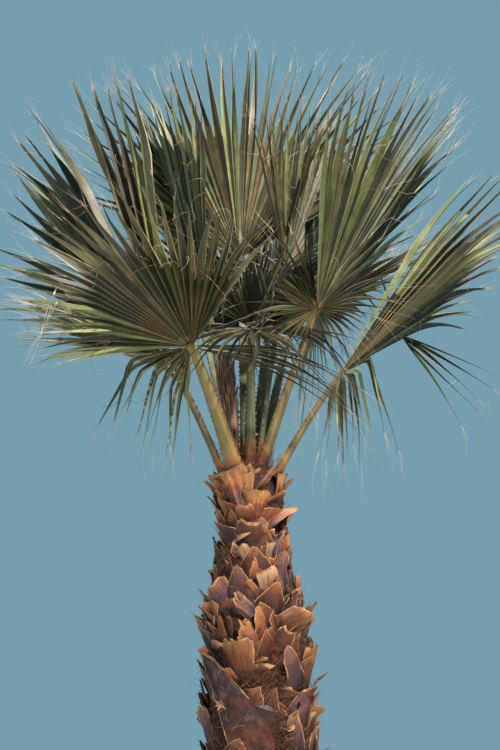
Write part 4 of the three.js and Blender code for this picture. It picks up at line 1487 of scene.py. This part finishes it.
# Woven mats of fibre between the plates: bearing and height of the middle, width, height, number of fibres
FIBRE_MATS = [
    (16, 2.27, 0.22, 0.10, 600), (-48, 2.40, 0.2, 0.3, 200), (-66, 1.85, 0.10, 0.3, 400),
    (42, 2.00, 0.14, 0.2, 400), (-60, 2.84, 0.12, 0.16, 200), (150, 2.4, 0.4, 0.4, 300),
    (230, 2.0, 0.4, 0.4, 300), (110, 1.4, 0.5, 0.5, 300), (-30, 1.2, 0.5, 0.5, 300),
    (200, 0.8, 0.6, 0.5, 300),
]
SHEATH_FOOT = np.array([-0.225, -0.10, 3.30])
SHEATH_TOP = np.array([-0.275, -0.06, 3.88])
SHEATH_STRIPS = 260
SHEATH_STEPS = 8
HEART_COUNT = 420


def make_core():
    """The trunk under its leaf bases: a leaning, roughened column with a flat cut at the ground."""
    deselect_all()
    bpy.ops.mesh.primitive_cylinder_add(vertices=CORE_SIDES, radius=1, depth=1, end_fill_type="TRIFAN",
                                        location=(0, 0, 0.5))
    piece = bpy.context.object
    bpy.ops.object.transform_apply(location=True, rotation=False, scale=False)
    piece.name = "trunk_core"
    bpy.ops.object.mode_set(mode="EDIT")
    for ring in range(1, CORE_RINGS):
        bpy.ops.mesh.select_all(action="SELECT")
        bpy.ops.mesh.bisect(plane_co=(0, 0, ring / CORE_RINGS), plane_no=(0, 0, 1))
    bpy.ops.object.mode_set(mode="OBJECT")
    mesh = piece.data
    flat = np.array([v.co for v in mesh.vertices])
    height = flat[:, 2] * (TRUNK_HEIGHT - CORE_SHORTER)
    bearing = np.arctan2(flat[:, 0], -flat[:, 1])
    spread = np.hypot(flat[:, 0], flat[:, 1])
    rough = np.array([noise.fractal(Vector((x * 4, y * 4, z * 16)), 0.8, 2.0, 4) for x, y, z in flat])
    radius = (core_radius(height) + CORE_RELIEF * rough) * spread
    places = [axis_x(height) + radius * np.sin(bearing), -radius * np.cos(bearing), height]
    mesh.vertices.foreach_set("co", np.stack(places, axis=1).ravel())
    wrap_grain(mesh, bearing, height)
    # Seen only in the gaps between plates, its colour is partly painted shade.
    mesh.materials.append(FINISHES["core_fibre_gap_shade"])
    finish_piece(piece, "core", ["trunk"])


def wrap_grain(mesh, bearing, height):
    """Grain coordinates round a column and up it, without a jump at the back."""
    layer = mesh.uv_layers.active
    layer.name = "grain"
    for face in mesh.polygons:
        turns = [bearing[i] for i in face.vertices]
        wrap = max(turns) - min(turns) > math.pi
        for corner, i in zip(face.loop_indices, face.vertices):
            turn = bearing[i] + (2 * math.pi if wrap and bearing[i] < 0 else 0)
            layer.data[corner].uv = (turn * CORE_GRAIN, height[i])


def make_fibres():
    """Loose fibres between the leaf bases, and a few that stand off the trunk."""
    rng = random.Random(SEEDS["trunk fibres"])
    mesh = Joined(["fibre_dark", "fibre_tan"])
    for _ in range(FIBRE_COUNT):
        height = rng.uniform(0.05, 3.2)
        bearing = rng.uniform(-180, 180)
        radius = float(core_radius(np.array(height))) + rng.uniform(0.0, 0.035)
        b = math.radians(bearing)
        start = beside_axis(b, radius, height)
        out = np.array([math.sin(b), -math.cos(b), 0.0])
        beside = np.array([math.cos(b), math.sin(b), 0.0])
        stand = 0.9 if rng.random() < 0.02 else 0.12
        way = beside * rng.gauss(0, 1) + UP * rng.gauss(0.3, 0.8) + out * stand
        points = wander(start, way, rng.uniform(0.04, 0.11), 0.22, 0.0, rng, 5)
        points[:, 2] = np.maximum(points[:, 2], LOWEST_FIBRE_POINT)
        skin = "fibre_tan" if rng.random() < 0.55 else "fibre_dark"
        add_thread(mesh, points, rng.uniform(0.0009, 0.0019), skin)
    mesh.build("trunk_fibres", "trunk_bark", "thread")


def make_mats():
    """Mats of crossing fibres, slanting both ways like coarse cloth."""
    rng = random.Random(SEEDS["mats"])
    mesh = Joined(["fibre_dark", "fibre_tan"])
    t = np.linspace(-0.5, 0.5, 5)
    for bearing, height, wide, tall, count in FIBRE_MATS:
        for _ in range(count):
            across, up = rng.gauss(0, wide / 3), rng.gauss(0, tall / 3)
            slope = math.radians(rng.choice([-1, 1]) * rng.uniform(15, 45) + rng.gauss(0, 10))
            length = rng.uniform(0.05, 0.14)
            x = across + t * length * math.cos(slope)
            y = up + t * length * math.sin(slope) + rng.gauss(0, 0.008) * (t * 2) ** 2
            out = rng.uniform(0.0, 0.022) + 0.004 * np.sin(t * 6 + rng.random() * 6)
            points = on_trunk(x, y, out, bearing, height)
            radius = rng.uniform(0.0009, 0.0018)
            add_thread(mesh, points, radius, rng.choice(["fibre_dark", "fibre_dark", "fibre_tan"]))
    mesh.build("fibre_mats", "trunk_bark", "thread")


def make_sheath():
    """A withered brown leaf sheath standing among the stalks: a ragged bundle of flat strips."""
    rng = random.Random(SEEDS["sheath"])
    mesh = Joined(["sheath_skin", "plate_inner", "leaf_olive"])
    t = np.linspace(0, 1, SHEATH_STEPS)[:, None]
    for _ in range(SHEATH_STRIPS):
        turn = rng.uniform(0, 2 * math.pi)
        spread = np.array([math.cos(turn), math.sin(turn), 0.0])
        start = SHEATH_FOOT + spread * 0.022
        end = mix(SHEATH_FOOT, SHEATH_TOP, rng.uniform(0.62, 1.05)) + spread * rng.uniform(0.010, 0.048)
        wave = np.array([scatter(0.006, rng) for _ in range(SHEATH_STEPS)]) * t
        line = start * (1 - t) + end * t + wave
        flat = np.cross(spread, UP)
        half = rng.uniform(0.003, 0.008) * (1 - 0.7 * t ** 3)
        net = np.stack([line - flat * half, line + spread * 0.003, line + flat * half], axis=1)
        across = np.ones((SHEATH_STEPS, 1)) * np.array([[0.0, 0.008, 0.016]]) + rng.random()
        grain = np.stack([across, t * np.ones((1, 3)) * 0.4], axis=2)
        skin = rng.choice(["sheath_skin", "sheath_skin", "sheath_skin", "plate_inner", "leaf_olive"])
        mesh.add_net(net, [[skin] * 2] * (SHEATH_STEPS - 1), grain)
    mesh.build("withered_sheath", "trunk_bark", "thread")


def make_heart():
    """Torn brown sheath fibres wrapped round the feet of the stalks."""
    rng = random.Random(SEEDS["heart"])
    mesh = Joined(["fibre_tan", "fibre_dark"])
    for _ in range(HEART_COUNT):
        b = rng.uniform(-math.pi, math.pi)
        radius = rng.uniform(0.02, 0.13)
        height = rng.uniform(3.2, 3.36)
        start = beside_axis(b, radius, height)
        lean = [rng.gauss(0, 0.2) + 0.15 * math.sin(b), rng.gauss(0, 0.2) - 0.15 * math.cos(b), 0.0]
        points = wander(start, UP + np.array(lean), rng.uniform(0.05, 0.2), 0.16, 0.02, rng, 7)
        thickness = rng.uniform(0.001, 0.0022)
        add_thread(mesh, points, thickness, rng.choice(["fibre_tan", "fibre_dark", "fibre_tan"]))
    mesh.build("crown_heart_fibres", "trunk_bark", "thread")


# Stage

def link(thing):
    bpy.context.scene.collection.objects.link(thing)


def make_floor():
    deselect_all()
    bpy.ops.mesh.primitive_plane_add(size=FLOOR_SIZE)
    floor = bpy.context.object
    floor.name = "studio_floor"
    paint = bpy.data.materials.new("floor_paint")
    paint.use_nodes = True
    skin_of(paint).inputs["Base Color"].default_value = (*FLOOR_TINT, 1)
    skin_of(paint).inputs["Roughness"].default_value = FLOOR_ROUGHNESS
    floor.data.materials.append(paint)


def make_lights():
    for name, setting in LIGHTS.items():
        lamp = bpy.data.lights.new(name, "AREA")
        lamp.size = setting["size"]
        lamp.energy = setting["power"]
        lamp.color = setting["tint"]
        holder = bpy.data.objects.new(name, lamp)
        holder.location = setting["place"]
        way = Vector(setting["aim"]) - Vector(setting["place"])
        holder.rotation_euler = way.to_track_quat("-Z", "Y").to_euler()
        link(holder)
    world = bpy.data.worlds.new("pale_studio")
    world.use_nodes = True
    backdrop = world.node_tree.nodes["Background"]
    backdrop.inputs["Color"].default_value = (*SKY_TINT, 1)
    backdrop.inputs["Strength"].default_value = SKY_STRENGTH
    bpy.context.scene.world = world
    bpy.context.scene.view_settings.view_transform = "Standard"


def make_camera():
    camera = bpy.data.objects.new("camera", bpy.data.cameras.new("camera"))
    camera.data.lens = CAMERA_LENS
    camera.data.sensor_width = CAMERA_SENSOR
    camera.location = CAMERA_PLACE
    camera.rotation_euler = (math.radians(CAMERA_PITCH), 0, 0)
    link(camera)
    bpy.context.scene.camera = camera


make_camera()
make_floor()
make_lights()
FINISHES = make_finishes()
PLATES = {kind: plate_shape(kind) for kind in PLATE_OUTLINES}
TOOTH = tooth_shape()
FRINGE = Joined(["fibre_dark", "fibre_tan"])
make_core()
make_spiral_plates()
make_splinters()
make_front_plates()
make_fresh_plates()
make_star()
FRINGE.build("frayed_edges", "trunk_bark", "thread")
make_fibres()
make_mats()
make_sheath()
make_heart()
make_stalks()
make_fans()
